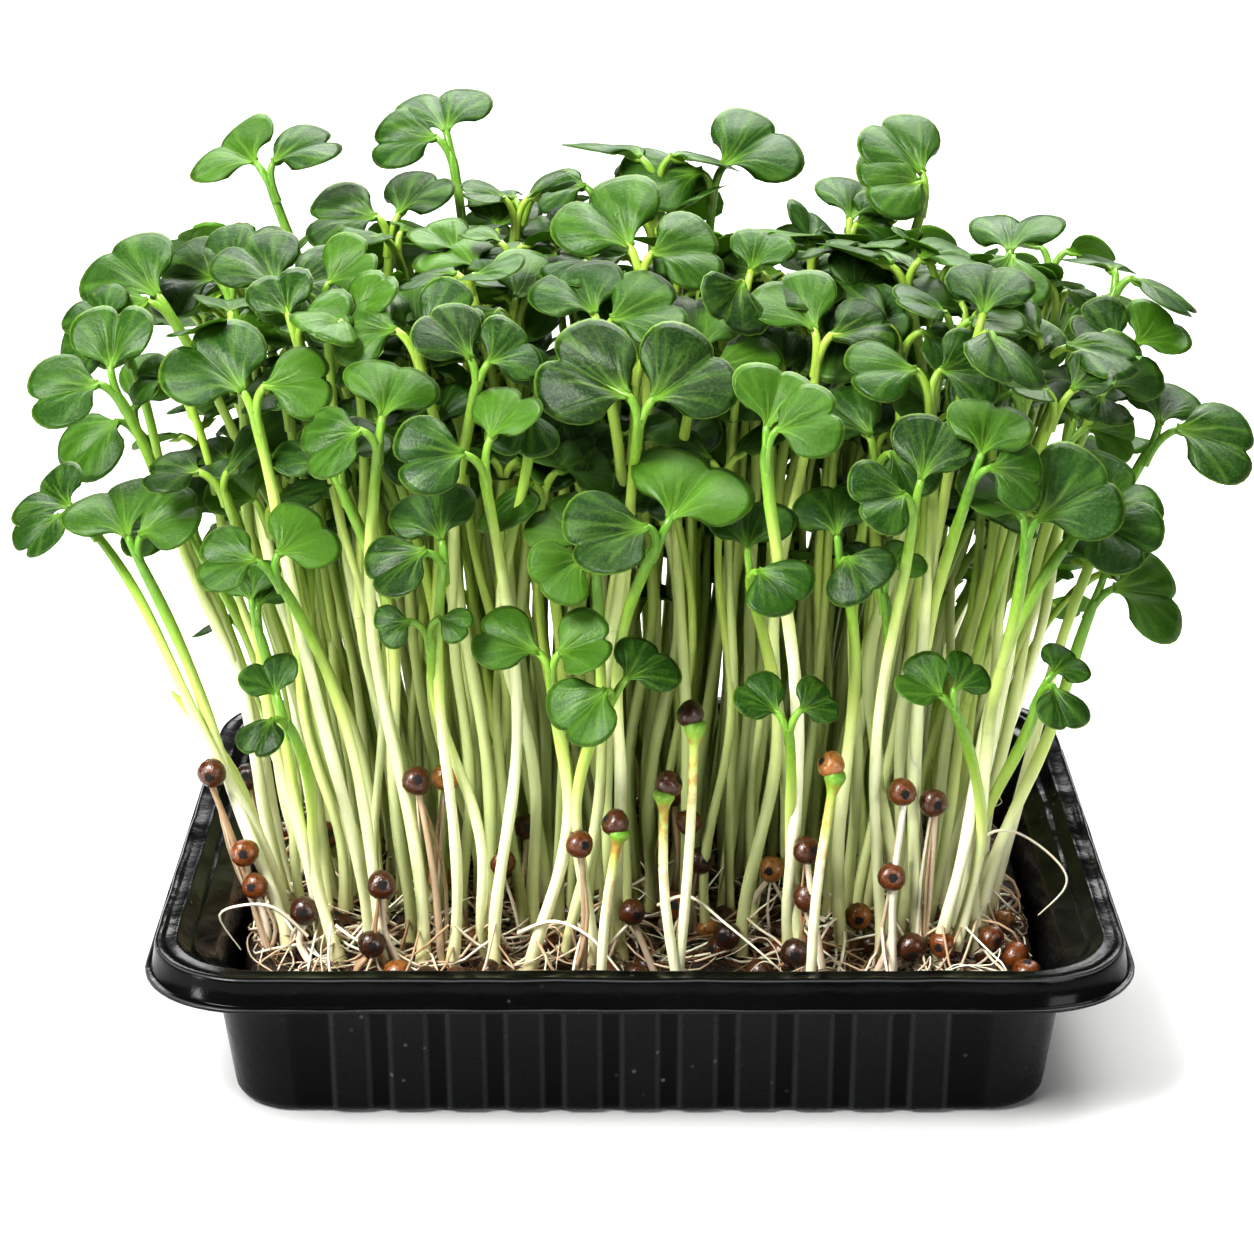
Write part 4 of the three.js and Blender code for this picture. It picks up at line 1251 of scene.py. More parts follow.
# %% Where the clinging hulls are
# Most hulls that cling to the front stems are lifted by the shoot that grew through them. Each is given
# by where it shows from the front: x and z on the upright plane through the front row of feet.
FRONT_ROW_Y = -40
CLINGING_LEVELS = (BED_Z + 3, BED_Z + 32, 1.5)  # from, to and step
CLINGING_HULLS = [
    (-67.9, 56.9), (-60.7, 56.0), (-37.8, 55.3), (-31.6, 62.4), (-29.3, 55.7), (-50.4, 46.9),
    (-47.2, 42.5), (-42.4, 38.5), (-34.0, 38.6), (-24.7, 40.9), (-16.2, 48.2), (-11.9, 43.4),
    (-2.4, 32.6), (-64.7, 35.8), (-67.1, 41.1), (-54.4, 33.1), (-43.9, 26.5), (7.1, 49.0),
    (8.6, 41.3), (39.5, 53.9), (46.1, 51.3), (39.7, 39.2), (28.3, 35.3), (33.9, 32.4),
    (22.2, 39.0), (25.2, 44.3), (5.1, 33.3), (12.8, 24.5), (25.7, 25.4), (44.7, 26.1),
    (51.5, 25.8), (58.5, 27.2), (3.9, 53.4),
]


def seen_at(point):
    """Where a point shows on the upright plane through the front row, seen from the camera."""
    x0, y0, z0 = CAMERA_PLACE
    share = (FRONT_ROW_Y - y0) / (point[1] - y0)
    return x0 + share * (point[0] - x0), z0 + share * (point[2] - z0)


def clinging_place(plants, sight):
    """The spot on a stem, low down, that shows nearest to `sight`."""
    best = None
    for plant in plants:
        for z in np.arange(*CLINGING_LEVELS):
            place = stem_at(plant.foot, plant.meet, plant.tip, z)
            x, height = seen_at(place)
            # A stem in the back half is taken only if it fits clearly better.
            miss = math.hypot(x - sight[0], height - sight[1]) + max(0, place[1]) * 0.05
            if best is None or miss < best[0]:
                best = (miss, place)
    return best[1]


def clinging_hulls(plants):
    """The middle of each clinging hull and the way its scar faces: outwards, roughly to the front."""
    rng = np.random.default_rng(78)
    hulls = []
    for sight in CLINGING_HULLS:
        x, y, z = clinging_place(plants, sight)
        side = math.copysign(1, sight[0] - seen_at((x, y, z))[0])
        turn = math.radians(-90 + side * rng.uniform(20, 75))
        reach = STEM.radius + HULLS.radius * 0.8
        out = np.array([math.cos(turn), math.sin(turn), 0])
        up = unit(out * 0.4 + np.array([0, -0.9, 0.3]) + rng.normal(0, 0.28, 3))
        hulls.append(((x + reach * out[0], y + reach * out[1], z), up))
    return hulls


# %% Lay the hulls
SCATTERED_HULLS = 140


def make_hulls(clinging, late, material):
    rng = np.random.default_rng(77)
    places = []

    def lay(point, scale, up, along, form=None):
        tone = rng.random()
        form = rng.integers(0, len(HULL_DENTS_AND_SPLITS)) if form is None else form
        size = (scale,) * 3
        places.append(SimpleNamespace(point=point, up=up, along=along, size=size, form=form, tone=tone))

    def lay_on_bed(x, y, raised, scales):
        z = float(bed_height(x, y)) + HULLS.radius * raised
        lay((x, y, z), rng.uniform(*scales), *any_turn(rng))

    # Hulls at the CAD part's spots, more that lie anywhere, those on stems and the late sprouts' own.
    for x, y in hull_spots:
        lay_on_bed(x, y, 0.7, (0.92, 1.08))
    for _ in range(SCATTERED_HULLS):
        lay_on_bed(*bed_place(rng, 3), 0.5, (0.85, 1.05))
    for point, up in clinging:
        lay(point, rng.uniform(0.96, 1.1), up, unit(rng.normal(size=3)))
    for x, y, z in late:
        side = rng.choice([-1, 1])
        beside = (x + 0.8 * side, y + 0.7, z + 0.5)
        lay(beside, 1.0, unit((side, -0.3, 0.6)), unit((0.2, -1, -0.5)), SPLIT_FORM)
    return copies_piece("seed_hulls", places, hull_forms(), ripple=0.0, ripple_scale=1.0, material=material)


# %% [markdown]
# A hull that was lifted by its shoot still has a few withered strands below it, down to the bed. And not
# every seed keeps pace: late sprouts push a half-open hull up on a short stem with brown stains, their folded
# leaves showing green in the gap. One has lost its leaves altogether.

# %% Strands below the lifted hulls
STRAND_RADII = (0.5, 0.28, 0.2)


def make_hull_stalks(clinging, material):
    rng = np.random.default_rng(80)
    steps = 8
    paths = []
    for (x, y, z), _ in clinging:
        for radius in STRAND_RADII:
            # The strands spread towards the bed and meet under the hull.
            foot = np.array([x + rng.uniform(-4, 4), y + rng.uniform(-1, 4), 0])
            foot /= max(float(bed_reach(*foot[:2])) / 0.94, 1)
            foot[2] = BED_Z - 2.5
            top = np.array([x + rng.uniform(-0.5, 0.5), y + 0.3, z - 1.6])
            middle = (foot + top) / 2 + np.array([rng.uniform(-2.4, 2.4), rng.uniform(-0.8, 0.8), 0])
            path = smooth_through([foot, middle, top], steps)
            radii = np.linspace(1.5 * radius, radius, steps)
            paths.append(with_tone(path, radii, rng.uniform(0.55, 0.9)))
    return tube_piece("hull_stalks", paths, 5, material)


# %% Late sprouts
LATE_SPROUTS = [(8.8, 65.5), (31.4, 56.7), (-3.2, 46.6), (3.9, 53.4)]  # seen as the clinging hulls are
BARE_SHOOT = [(-60, -19, 19), (-63, -19.5, 32), (-67, -20, 46), (-72, -20, 55), (-77.5, -20, 62.5)]
# A sprout's radius at these shares of its way up, from its foot to the folded leaves.
BUD_SHARES = [0, 0.15, 0.3, 0.45, 0.6, 0.75, 0.86, 0.9, 0.93, 0.96, 0.985, 1]
BUD = [0.9, 0.86, 0.88, 0.84, 0.8, 0.78, 0.8, 1.2, 1.7, 1.85, 1.5, 0.6]


print(len(CLINGING_HULLS), "clinging hulls and", len(LATE_SPROUTS), "late sprouts")


def late_sprout_tips(plants):
    """Each late sprout stands on its line of sight, where it is clearest of the other stems."""
    near = [plant for plant in plants if plant.foot[1] < 0]
    tips = []
    for sight in LATE_SPROUTS:
        best = None
        for y in np.arange(-44, -27, 1.0):
            share = (y - CAMERA_PLACE[1]) / (FRONT_ROW_Y - CAMERA_PLACE[1])
            x = CAMERA_PLACE[0] + share * (sight[0] - CAMERA_PLACE[0])
            top = CAMERA_PLACE[2] + share * (sight[1] - CAMERA_PLACE[2])
            levels = (28, 38, top - 4)
            stems = [stem_at(plant.foot, plant.meet, plant.tip, z) for plant in near for z in levels]
            room = min(math.hypot(stem[0] - x, stem[1] - y) for stem in stems)
            if best is None or room > best[0]:
                best = (room, (x, y, top))
        tips.append(best[1])
    return tips


def bare_shoot():
    """The path of the shoot that has lost its leaves."""
    steps = 14
    radii = np.interp(np.linspace(0, 1, steps), [0, 0.7, 0.95, 1], [1.1, 0.95, 0.6, 0.2])
    attributes = {"green": np.linspace(0.1, 0.6, steps), "tone": np.full(steps, 0.5)}
    attributes.update(foot=np.zeros(steps), stain=np.zeros(steps))
    return smooth_through(BARE_SHOOT, steps), radii, attributes


def make_late_sprouts(tips, material):
    rng = np.random.default_rng(81)
    shares = np.array(BUD_SHARES)
    count = len(shares)
    paths = []
    for x, y, z in tips:
        foot = np.array([x + rng.choice([-1, 1]) * rng.uniform(2, 5), y + rng.uniform(0, 2), BED_Z - 2])
        bow = np.array([rng.uniform(-2, 2), rng.uniform(-0.5, 0.5), 0])
        line = np.array([foot, foot, (foot + (x, y, z)) / 2 + bow, (x, y, z), (x, y, z)])
        attributes = {
            "green": np.interp(shares, [0, 0.6, 0.88, 1], [0, 0.1, 0.6, 1]),
            "foot": np.zeros(count),
            "tone": np.full(count, rng.random()),
            "stain": np.interp(shares, [0, 0.5, 0.8, 0.89, 0.93], [0, 0.25, 1, 1, 0]),
        }
        paths.append((smooth_line(line, 2 * shares), np.array(BUD), attributes))
    return tube_piece("late_sprouts", [*paths, bare_shoot()], 9, material)


# %% [markdown]
# ## Stems
#
# A stem is a tube that swells slightly and sways on its way up, never quite round or straight. It is
# white in the shade of the crowd and turns green towards its leaves, so each point carries how
# green it is, and one finish colours the whole stem with no seam between its two CAD parts.

# %% A stem as a path
def greenness(plant, z):
    """0 is white and 1 is green. A plant's `green_reach` is how far below its tip the green starts."""
    return np.clip(1 - (plant.tip[2] - z) / plant.green_reach, 0, 1) ** 1.25


def own_number(plant):
    """A number that differs from plant to plant, to vary the waves in a stem."""
    return plant.foot[0] * 1.7 + plant.foot[1] * 2.3


def sway(plant, levels):
    """How far a stem strays from its plain curve, dying out at its foot and at its tip."""
    own = own_number(plant)
    share = np.clip((levels - BED_Z) / (plant.tip[2] - BED_Z), 0, 1)
    reach = plant.sway * np.sin(np.pi * share) ** 0.7
    pace = 0.07 + 0.03 * math.sin(own * 5.1)
    return reach * np.sin(levels * pace + own), reach * np.cos(levels * pace * 0.9 + own * 1.3)


def stem_path(plant, levels):
    points = np.array([stem_at(plant.foot, plant.meet, plant.tip, z) for z in levels])
    own = own_number(plant)
    points[:, :2] += np.stack(sway(plant, levels), axis=1)
    above_bed = np.maximum(levels - BED_Z, 0)
    height = (levels - BED_Z) / (plant.tip[2] - BED_Z)
    radii = STEM.radius + (STEM.tip_radius - STEM.radius) * np.clip(height, 0, 1)
    # It is a little uneven, flares at its foot and narrows just below the fork.
    radii = radii + 0.06 * np.sin(levels * 0.33 + own) + 0.3 * np.exp(-above_bed / 1.6)
    radii = radii * (1 - 0.4 * np.clip(1 - (plant.tip[2] - levels) / 2.2, 0, 1))
    foot = np.exp(-above_bed / 5)
    tone = np.full(len(levels), (own * 0.37) % 1.0)
    attributes = {"green": greenness(plant, levels), "foot": foot, "tone": tone}
    return points, radii * plant.thickness, attributes


def cut_height(plant):
    """Where the pale stem ends and the leafy top takes over, as in the CAD part."""
    return plant.meet[2] - STEM.green_below_meet


def top_levels(plant):
    """Even steps up to the fork, then closer ones, where the stem narrows into its stalks."""
    top = plant.tip[2]
    return np.concatenate([np.linspace(cut_height(plant), top - 3, 12), [top - 1.8, top - 0.9, top - 0.2]])


def make_pale_stems(name, plants, sides, steps, material):
    paths = [stem_path(plant, np.linspace(BED_Z - 1.2, cut_height(plant), steps)) for plant in plants]
    return tube_piece(name, paths, sides, material)


# %% [markdown]
# At its tip the stem forks into two leaf stalks. Each starts inside the stem, curves out and runs on
# under its blade as the midrib, getting thinner all the way.

# %% A leaf stalk as a path
PETIOLE_STEPS = 7
MIDRIB_STEPS = 3
MIDRIB_SHARE = 0.34  # of the blade's length


def blade_base(leaf):
    return leaf.start + (LEAF.petiole - leaf.closer) * leaf.stalk


def stalk_path(leaf, tone):
    # A curve with one control point, from inside the stem to just under the blade's base.
    inside = leaf.start - 4.2 * leaf.rising + 0.12 * leaf.along
    base = blade_base(leaf) - 0.15 * leaf.up
    control = leaf.start + 0.25 * (LEAF.petiole - leaf.closer) * leaf.rising
    share = np.linspace(0, 1, PETIOLE_STEPS)[:, None]
    petiole = (1 - share) ** 2 * inside + 2 * share * (1 - share) * control + share**2 * base
    # The midrib follows the blade's droop, a little below it.
    share = np.linspace(0, MIDRIB_SHARE, MIDRIB_STEPS + 1)[1:, None]
    droop = LEAF.droop * LEAF.length * leaf.size * share**2
    midrib = base + LEAF.length * leaf.size * share * leaf.along - (droop + 0.45) * leaf.up
    points = np.concatenate([petiole, midrib])
    radii = np.concatenate([
        np.interp(np.linspace(0, 1, PETIOLE_STEPS), [0, 0.45, 1], [0.78, 0.72, 0.66]),
        np.linspace(0.52, 0.12, MIDRIB_STEPS),
    ])
    count = len(points)
    green = np.concatenate([np.linspace(0.9, 0.97, PETIOLE_STEPS), np.full(MIDRIB_STEPS, 0.97)])
    attributes = {"green": green, "foot": np.zeros(count), "tone": np.full(count, tone)}
    return points, radii * (0.75 + 0.25 * leaf.size), attributes


# %% [markdown]
# ## Leaf blades
#
# A radish seed leaf is a little kidney with a notch at its tip. It doesn't sit on its stalk like a coin on a
# stick: the stalk widens like a trumpet and becomes the blade. So the blade is laid out along rays that
# start side by side in the stalk's mouth, part, and end on the edge. Sixteen forms vary how broad, cupped
# and deeply notched it is; the copying tree stretches and ripples each copy.

# %% The outline and the surface of a blade
CUPS = (-0.08, 0.02, 0.12, 0.22)
FORMS_A_CUP = 4
BLADE = SimpleNamespace(reach=10.9, mouth=0.062, half_thickness=0.16, root_thickness=0.28)
# half of the edge, from the trumpet's end round to the notch, in shares of the reach
SLIM_EDGE = [
    (0.22, 0.34), (0.36, 0.54), (0.56, 0.64), (0.76, 0.6), (0.91, 0.44), (0.985, 0.22), (0.97, 0.07),
    (0.92, 0),
]
BROAD_EDGE = [
    (0.08, 0.42), (0.22, 0.62), (0.47, 0.71), (0.73, 0.66), (0.9, 0.47), (0.975, 0.24), (0.955, 0.08),
    (0.9, 0),
]


def blade_rays(rays, breadth, notch, skew):
    """Start, control point and end of every ray, and how far to the side it lies (-1 to 1)."""
    side = np.linspace(-1, 1, rays)
    half = (1 - breadth) * np.array(SLIM_EDGE) + breadth * np.array(BROAD_EDGE)
    half[-1, 0] -= notch
    half[-2, 0] -= notch * 0.45
    turning = np.array([0.15 - 0.07 * breadth, BLADE.mouth])
    line = np.concatenate([[turning], half, [half[-2] * (1, -1)]])
    end = smooth_line(line, (len(half) - 1) * (1 - np.abs(side)))
    end[:, 1] *= np.sign(side) * (1 + skew * np.sign(side))
    start = np.stack([np.zeros(rays), BLADE.mouth * side], axis=1)
    control = np.stack([turning[0] + 0.22 * (1 - np.abs(side)), BLADE.mouth * side], axis=1)
    return start * BLADE.reach, control * BLADE.reach, end * BLADE.reach, side


def blade_surface(x, y, t, cup, pillow, groove, curl, channel):
    """The height of the blade over its rays. `t` runs from the mouth (0) to the edge (1)."""
    across = y / LEAF.half_width
    droop = LEAF.droop * LEAF.length * (np.maximum(x, 0) / LEAF.length) ** 2
    bend = cup * LEAF.half_width * across**2 - droop
    lobes = pillow * np.sin(np.pi * np.clip(np.abs(across), 0, 1)) * np.sin(np.pi * np.clip(t, 0, 1))
    # A groove follows the midrib, and near the stalk the blade folds up into a trough.
    rib = groove * np.exp(-((y / 0.95) ** 2)) * np.clip(1.1 - t, 0, 1) ** 0.5
    trough = channel * np.abs(y) * np.exp(-3.2 * t)
    return bend + lobes + trough - rib * np.clip(4 * t, 0, 1) - curl * t**5


# %% Blades of sixteen forms
def blade_form(rays, rings, cup, rng):
    """Two sheets that share their edge; the mouth is closed and sits inside the stalk."""
    breadth, notch, skew = rng.uniform(0, 1), rng.uniform(-0.03, 0.08), rng.uniform(-0.08, 0.08)
    pillow, groove = rng.uniform(0.35, 1.0), rng.uniform(0.3, 0.55)
    curl, channel = rng.uniform(-0.4, 0.6), rng.uniform(0.5, 0.9)
    start, control, end, side = blade_rays(rays, breadth, notch, skew)
    points, own = [], []
    for upper in (1, -1):
        columns = slice(None) if upper > 0 else slice(1, -1)
        for ring in range(rings + 1 if upper > 0 else rings):
            t = 1 - (1 - ring / rings) ** 1.3
            flat = ((1 - t) ** 2 * start + 2 * t * (1 - t) * control + t**2 * end)[columns]
            aside = np.abs(side[columns])
            swell = BLADE.half_thickness + BLADE.root_thickness * np.exp(-9 * t)
            swell = swell * np.sqrt((1 - t**6) * (1 - aside**6))
            z = blade_surface(*flat.T, t, cup, pillow, groove, curl, channel) + upper * swell
            points += list(zip(*flat.T, z))
            own += list(zip(np.full(len(z), t), side[columns], upper * (1 - t**12) * (1 - aside**12)))

    def over(ring, ray):
        return ring * rays + ray

    def under(ring, ray):
        rim_highlight_line = ring == rings or ray in (0, rays - 1)
        return over(ring, ray) if rim_highlight_line else (rings + 1) * rays + ring * (rays - 2) + ray - 1

    faces = []
    for ray in range(rays - 1):
        mouth = [over(0, ray), over(0, ray + 1), under(0, ray + 1), under(0, ray)]
        faces.append(tuple(dict.fromkeys(mouth)))
        for ring in range(rings):
            around = [(ring, ray), (ring + 1, ray), (ring + 1, ray + 1), (ring, ray + 1)]
            faces.append(tuple(over(*corner) for corner in around))
            faces.append(tuple(under(*corner) for corner in reversed(around)))
    return points, faces, {"blade": own}


def blade_forms(name, rays, rings, seed):
    rng = np.random.default_rng(seed)
    return make_forms(name, [blade_form(rays, rings, cup, rng) for cup in CUPS for _ in range(FORMS_A_CUP)])


FINE_BLADES = blade_forms("fine_blade", rays=27, rings=8, seed=3)
SMALL_BLADES = blade_forms("small_blade", rays=15, rings=6, seed=4)

# %% [markdown]
# The copies take the directions that the plan gave each leaf. A leaf with a deeper cup in the plan
# takes a form with a deeper cup.

# %% Leaves and green stems of one group of seedlings
def leaf_place(leaf, rng):
    level = int(np.argmin([abs(leaf.cup - cup) for cup in CUPS]))
    longer, broader = leaf.grown * rng.uniform(0.94, 1.08), leaf.grown * rng.uniform(0.93, 1.08)
    return SimpleNamespace(
        point=blade_base(leaf),
        up=leaf.up,
        along=leaf.along,
        size=(leaf.size * longer, leaf.size * broader, leaf.size),
        form=FORMS_A_CUP * level + rng.integers(0, FORMS_A_CUP),
        tone=rng.random(),
    )


def make_tops(name, plants, forms, sides, rng, stem_material, leaf_material):
    paths = []
    for plant in plants:
        path = stem_path(plant, top_levels(plant))
        paths.append(path)
        paths += [stalk_path(leaf, path[2]["tone"][0]) for leaf in plant.leaves]
    stalks = tube_piece(name, paths, sides, stem_material)
    places = [leaf_place(leaf, rng) for plant in plants for leaf in plant.leaves]
    ripple = {"ripple": 1.5 * MM, "ripple_scale": 90.0}
    blades = copies_piece(name + "_blades", places, forms, material=leaf_material, **ripple)
    return join([stalks, blades])


# %% [markdown]
# ## Finishes
#
# Each finish is a node material that reads the piece's own attributes or Object coordinates. Colours
# are written as a maker would pick them on a screen, from 0 to 255, and turned into the linear
# values that Blender works in.

# %% Helpers for finishes
def colour(red, green, blue):
    channels = [value / 255 for value in (red, green, blue)]
    linear = [v / 12.92 if v <= 0.04045 else ((v + 0.055) / 1.055) ** 2.4 for v in channels]
    return (*linear, 1.0)


def new_finish(name):
    material = bpy.data.materials.new(name)
    material.use_nodes = True
    tree = material.node_tree
    tree.nodes.clear()
    return material, tree


def finish_with(tree, shader):
    put(tree, "ShaderNodeOutputMaterial", {"Surface": shader})


def surface(tree, **inputs):
    """The shader for a surface; an input's underscores stand for the spaces in its name."""
    named_inputs = {name.replace("_", " "): value for name, value in inputs.items()}
    return put(tree, "ShaderNodeBsdfPrincipled", named_inputs)


def read(tree, name, output="Fac"):
    return put(tree, "ShaderNodeAttribute", attribute_name=name).outputs[output]


def object_place(tree):
    return put(tree, "ShaderNodeTexCoord").outputs["Object"]


def split(tree, vector):
    """The three parts of a vector."""
    return put(tree, "ShaderNodeSeparateXYZ", {"Vector": vector}).outputs


def noise(tree, scale, detail, roughness=0.5, vector=None):
    inputs = {"Scale": scale, "Detail": detail, "Roughness": roughness}
    inputs["Vector"] = object_place(tree) if vector is None else vector
    return put(tree, "ShaderNodeTexNoise", inputs).outputs["Fac"]


def bump(tree, height, strength, distance, under=None):
    inputs = {"Height": height, "Strength": strength, "Distance": distance}
    if under is not None:
        inputs["Normal"] = under
    return put(tree, "ShaderNodeBump", inputs).outputs["Normal"]


# %% Helpers that mix values and colours
def weighted_sum(tree, *terms):
    """The sum of values, each times its own weight."""
    parts = [times(tree, value, weight) for value, weight in terms]
    total = parts[0]
    for part in parts[1:]:
        total = plus(tree, total, part)
    return total


def ramp(tree, value, stops):
    """Turns a value into a colour, by stops of a position and a colour each."""
    node = put(tree, "ShaderNodeValToRGB", {"Fac": value})
    elements = node.color_ramp.elements
    while len(elements) < len(stops):
        elements.new(0.5)
    for element, (position, shade) in zip(elements, stops):
        element.position = position
        element.color = colour(*shade)
    return node.outputs["Color"]


def blend(tree, share, first, second):
    """A share of 0 gives the first colour and a share of 1 the second."""
    return put(tree, "ShaderNodeMix", {0: share, 6: first, 7: second}, data_type="RGBA").outputs[2]


def coats(tree, base, *layers):
    """Lays colours over a base, one after the other, each by its own share."""
    for share, shade in layers:
        base = blend(tree, share, base, colour(*shade))
    return base


# %% [markdown]
# Black thermoformed sheet is never one black. It is satin, with a faint haze of dust on the flats and
# fine scuffs where it has rubbed against other trays. The finish also paints light and shade into the colour:
# darker grooves between the ribs and a darker rim (painted shade), and lighter lines along the rib edges
# and the rim's two edges (painted highlights).

# %% Satin black sheet
def make_tray_finish():
    material, tree = new_finish("satin_black_sheet")
    haze = noise(tree, 38.0, 5.0)
    scuffs = noise(tree, 420.0, 3.0, 0.7)
    dust = put(tree, "ShaderNodeTexVoronoi", {"Vector": object_place(tree), "Scale": 330.0})
    specks = span(tree, dust.outputs["Distance"], 0.16, 0.07)
    specks = times(tree, specks, span(tree, noise(tree, 60.0, 2.0), 0.52, 0.66))
    from_rib, on_wall, on_rim, rim_highlight_line = [read(tree, name) for name in ("from_rib", "wall", "rim", "edge")]
    from_edge = maths(tree, "ABSOLUTE", minus(tree, from_rib, FLUTE.width / 2 * MM))
    # A thin lighter line along each rib's edge: a painted highlight.
    rib_edge_highlight = times(tree, span(tree, from_edge, 0.65 * MM, 0.1 * MM), on_wall)
    # The grooves between the ribs are painted darker, a painted shade; the same mask lowers their gloss.
    between = times(tree, span(tree, from_rib, 2.9 * MM, 3.5 * MM), on_wall)
    between = times(tree, between, span(tree, from_rib, 12 * MM, 8 * MM))
    base = coats(
        tree,
        ramp(tree, haze, [(0.3, (11, 12, 12)), (0.72, (18, 19, 19))]),
        # painted shade: the grooves between the ribs darker
        (times(tree, between, 0.7), (3, 3, 3)),
        # painted highlight: lighter lines along the rib edges
        (times(tree, rib_edge_highlight, 0.3), (64, 66, 66)),
        # painted shade: the rim darker than the walls
        (times(tree, on_rim, 0.6), (5, 5, 5)),
        # painted highlight: a lighter line along the rim's two edges
        (times(tree, rim_highlight_line, 0.6), (88, 90, 90)),
        (times(tree, specks, 0.45), (120, 118, 112)),
    )
    sheen = plus(tree, span(tree, haze, 0.3, 0.75, 0.2, 0.3), span(tree, scuffs, 0.45, 0.75, 0.0, 0.12))
    sheen = minus(tree, sheen, times(tree, on_rim, 0.09))
    height = split(tree, object_place(tree))["Z"]
    gloss = span(tree, height, 0.0, 25 * MM, 0.05, 0.24, "LINEAR")
    gloss = times(tree, gloss, span(tree, between, 0.0, 1.0, 1.0, 0.75))
    gloss = times(tree, gloss, span(tree, on_rim, 0.0, 1.0, 1.0, 0.42))
    relief = bump(tree, scuffs, 0.12, 0.0004, bump(tree, haze, 0.25, 0.0011))
    sheet = surface(tree, Base_Color=base, Roughness=sheen, Normal=relief, Specular_IOR_Level=gloss)
    finish_with(tree, sheet)
    return material


# %% [markdown]
# Coir is a warm dark brown with paler flecks, and it is matt, with a glint only where it is wet.

# %% Damp coir
def make_mat_finish(name, lighter=0.0):
    material, tree = new_finish(name)
    grain = noise(tree, 240.0, 6.0, 0.65)
    patches = noise(tree, 60.0, 3.0)
    base = coats(
        tree,
        ramp(tree, grain, [(0.3, (14, 9, 6)), (0.52, (34, 21, 13)), (0.76, (72, 47, 28))]),
        (span(tree, patches, 0.35, 0.7, 0.0, 0.6), (26, 17, 11)),
        (lighter, (128, 92, 58)),
    )
    wet = span(tree, patches, 0.4, 0.6, 0.45, 0.9)
    relief = bump(tree, grain, 0.9, 0.0012)
    finish_with(tree, surface(tree, Base_Color=base, Roughness=wet, Normal=relief))
    return material


# %% [markdown]
# Roots are cream and slightly see-through; older ones are stained by the mat. A little subsurface light
# keeps thin threads from looking like plastic cord. A thread's tone sets how dark it is: partly the mat's
# stain, partly painted shade for threads low in the felt and behind the front row.

# %% Cream roots
ROOT_DARK_TO_PALE = [(0.0, (44, 28, 17)), (0.3, (88, 62, 40)), (0.6, (160, 132, 98)), (0.9, (240, 229, 208))]


def make_root_finish():
    material, tree = new_finish("cream_roots")
    stains = span(tree, noise(tree, 130.0, 3.0), 0.55, 0.8, 0.0, 0.35)
    base = coats(tree, ramp(tree, read(tree, "tone"), ROOT_DARK_TO_PALE), (stains, (184, 140, 92)))
    root = surface(
        tree,
        Base_Color=base,
        Normal=bump(tree, noise(tree, 1500.0, 2.0), 0.25, 0.0003),
        Roughness=0.42,
        Specular_IOR_Level=0.4,
        Subsurface_Weight=0.25,
        Subsurface_Scale=0.0012,
    )
    finish_with(tree, root)
    return material


# %% [markdown]
# A hull is a glossy red-brown, darker and wrinkled round its scar. Its own coordinates are kept in an
# attribute, so the scar turns with each copy.

# %% Glossy hulls
DARK_TO_PALE = [(0.0, (50, 25, 12)), (0.6, (84, 43, 18)), (0.85, (124, 68, 24)), (1.0, (186, 132, 68))]


def make_hull_finish():
    material, tree = new_finish("glossy_hull")
    own = read(tree, "own", "Vector")
    grain = span(tree, noise(tree, 3.2, 4.0, vector=own), 0.4, 0.75, 0.0, 0.6)
    sides = put(tree, "ShaderNodeVectorMath", {0: own, 1: (1.0, 1.0, 0.0)}, operation="MULTIPLY")
    from_axis = put(tree, "ShaderNodeVectorMath", {0: sides}, operation="LENGTH").outputs["Value"]
    ragged = minus(tree, from_axis, times(tree, noise(tree, 5.0, 2.0, vector=own), 0.5))
    top = span(tree, split(tree, own)["Z"], 0.0, 0.2)
    scar = times(tree, span(tree, ragged, 0.09, 0.03), top)
    body = ramp(tree, read(tree, "tone"), DARK_TO_PALE)
    hull = surface(
        tree,
        Base_Color=coats(tree, body, (grain, (40, 20, 10)), (scar, (5, 3, 2))),
        Roughness=span(tree, scar, 0.0, 1.0, 0.2, 0.75),
        Normal=bump(tree, noise(tree, 9.0, 3.0, vector=own), 0.35, 0.0004),
        Coat_Weight=span(tree, scar, 0.0, 1.0, 0.35, 0.0),
        Coat_Roughness=0.12,
    )
    finish_with(tree, hull)
    return material


# %% [markdown]
# A stem is a wet white straw: light goes into it and comes out again nearby. Its green is read from the
# path, through yellow-green. A stem in the middle of the crowd stands in green light and shade, so the finish
# paints it darker and greener all the way up: painted shade and painted green bounce light.

# %% White to green stems
WHITE_TO_GREEN = [
    (0.0, (245, 246, 214)), (0.2, (236, 241, 188)), (0.45, (196, 213, 122)), (0.75, (134, 172, 58)),
    (1.0, (88, 136, 32)),
]


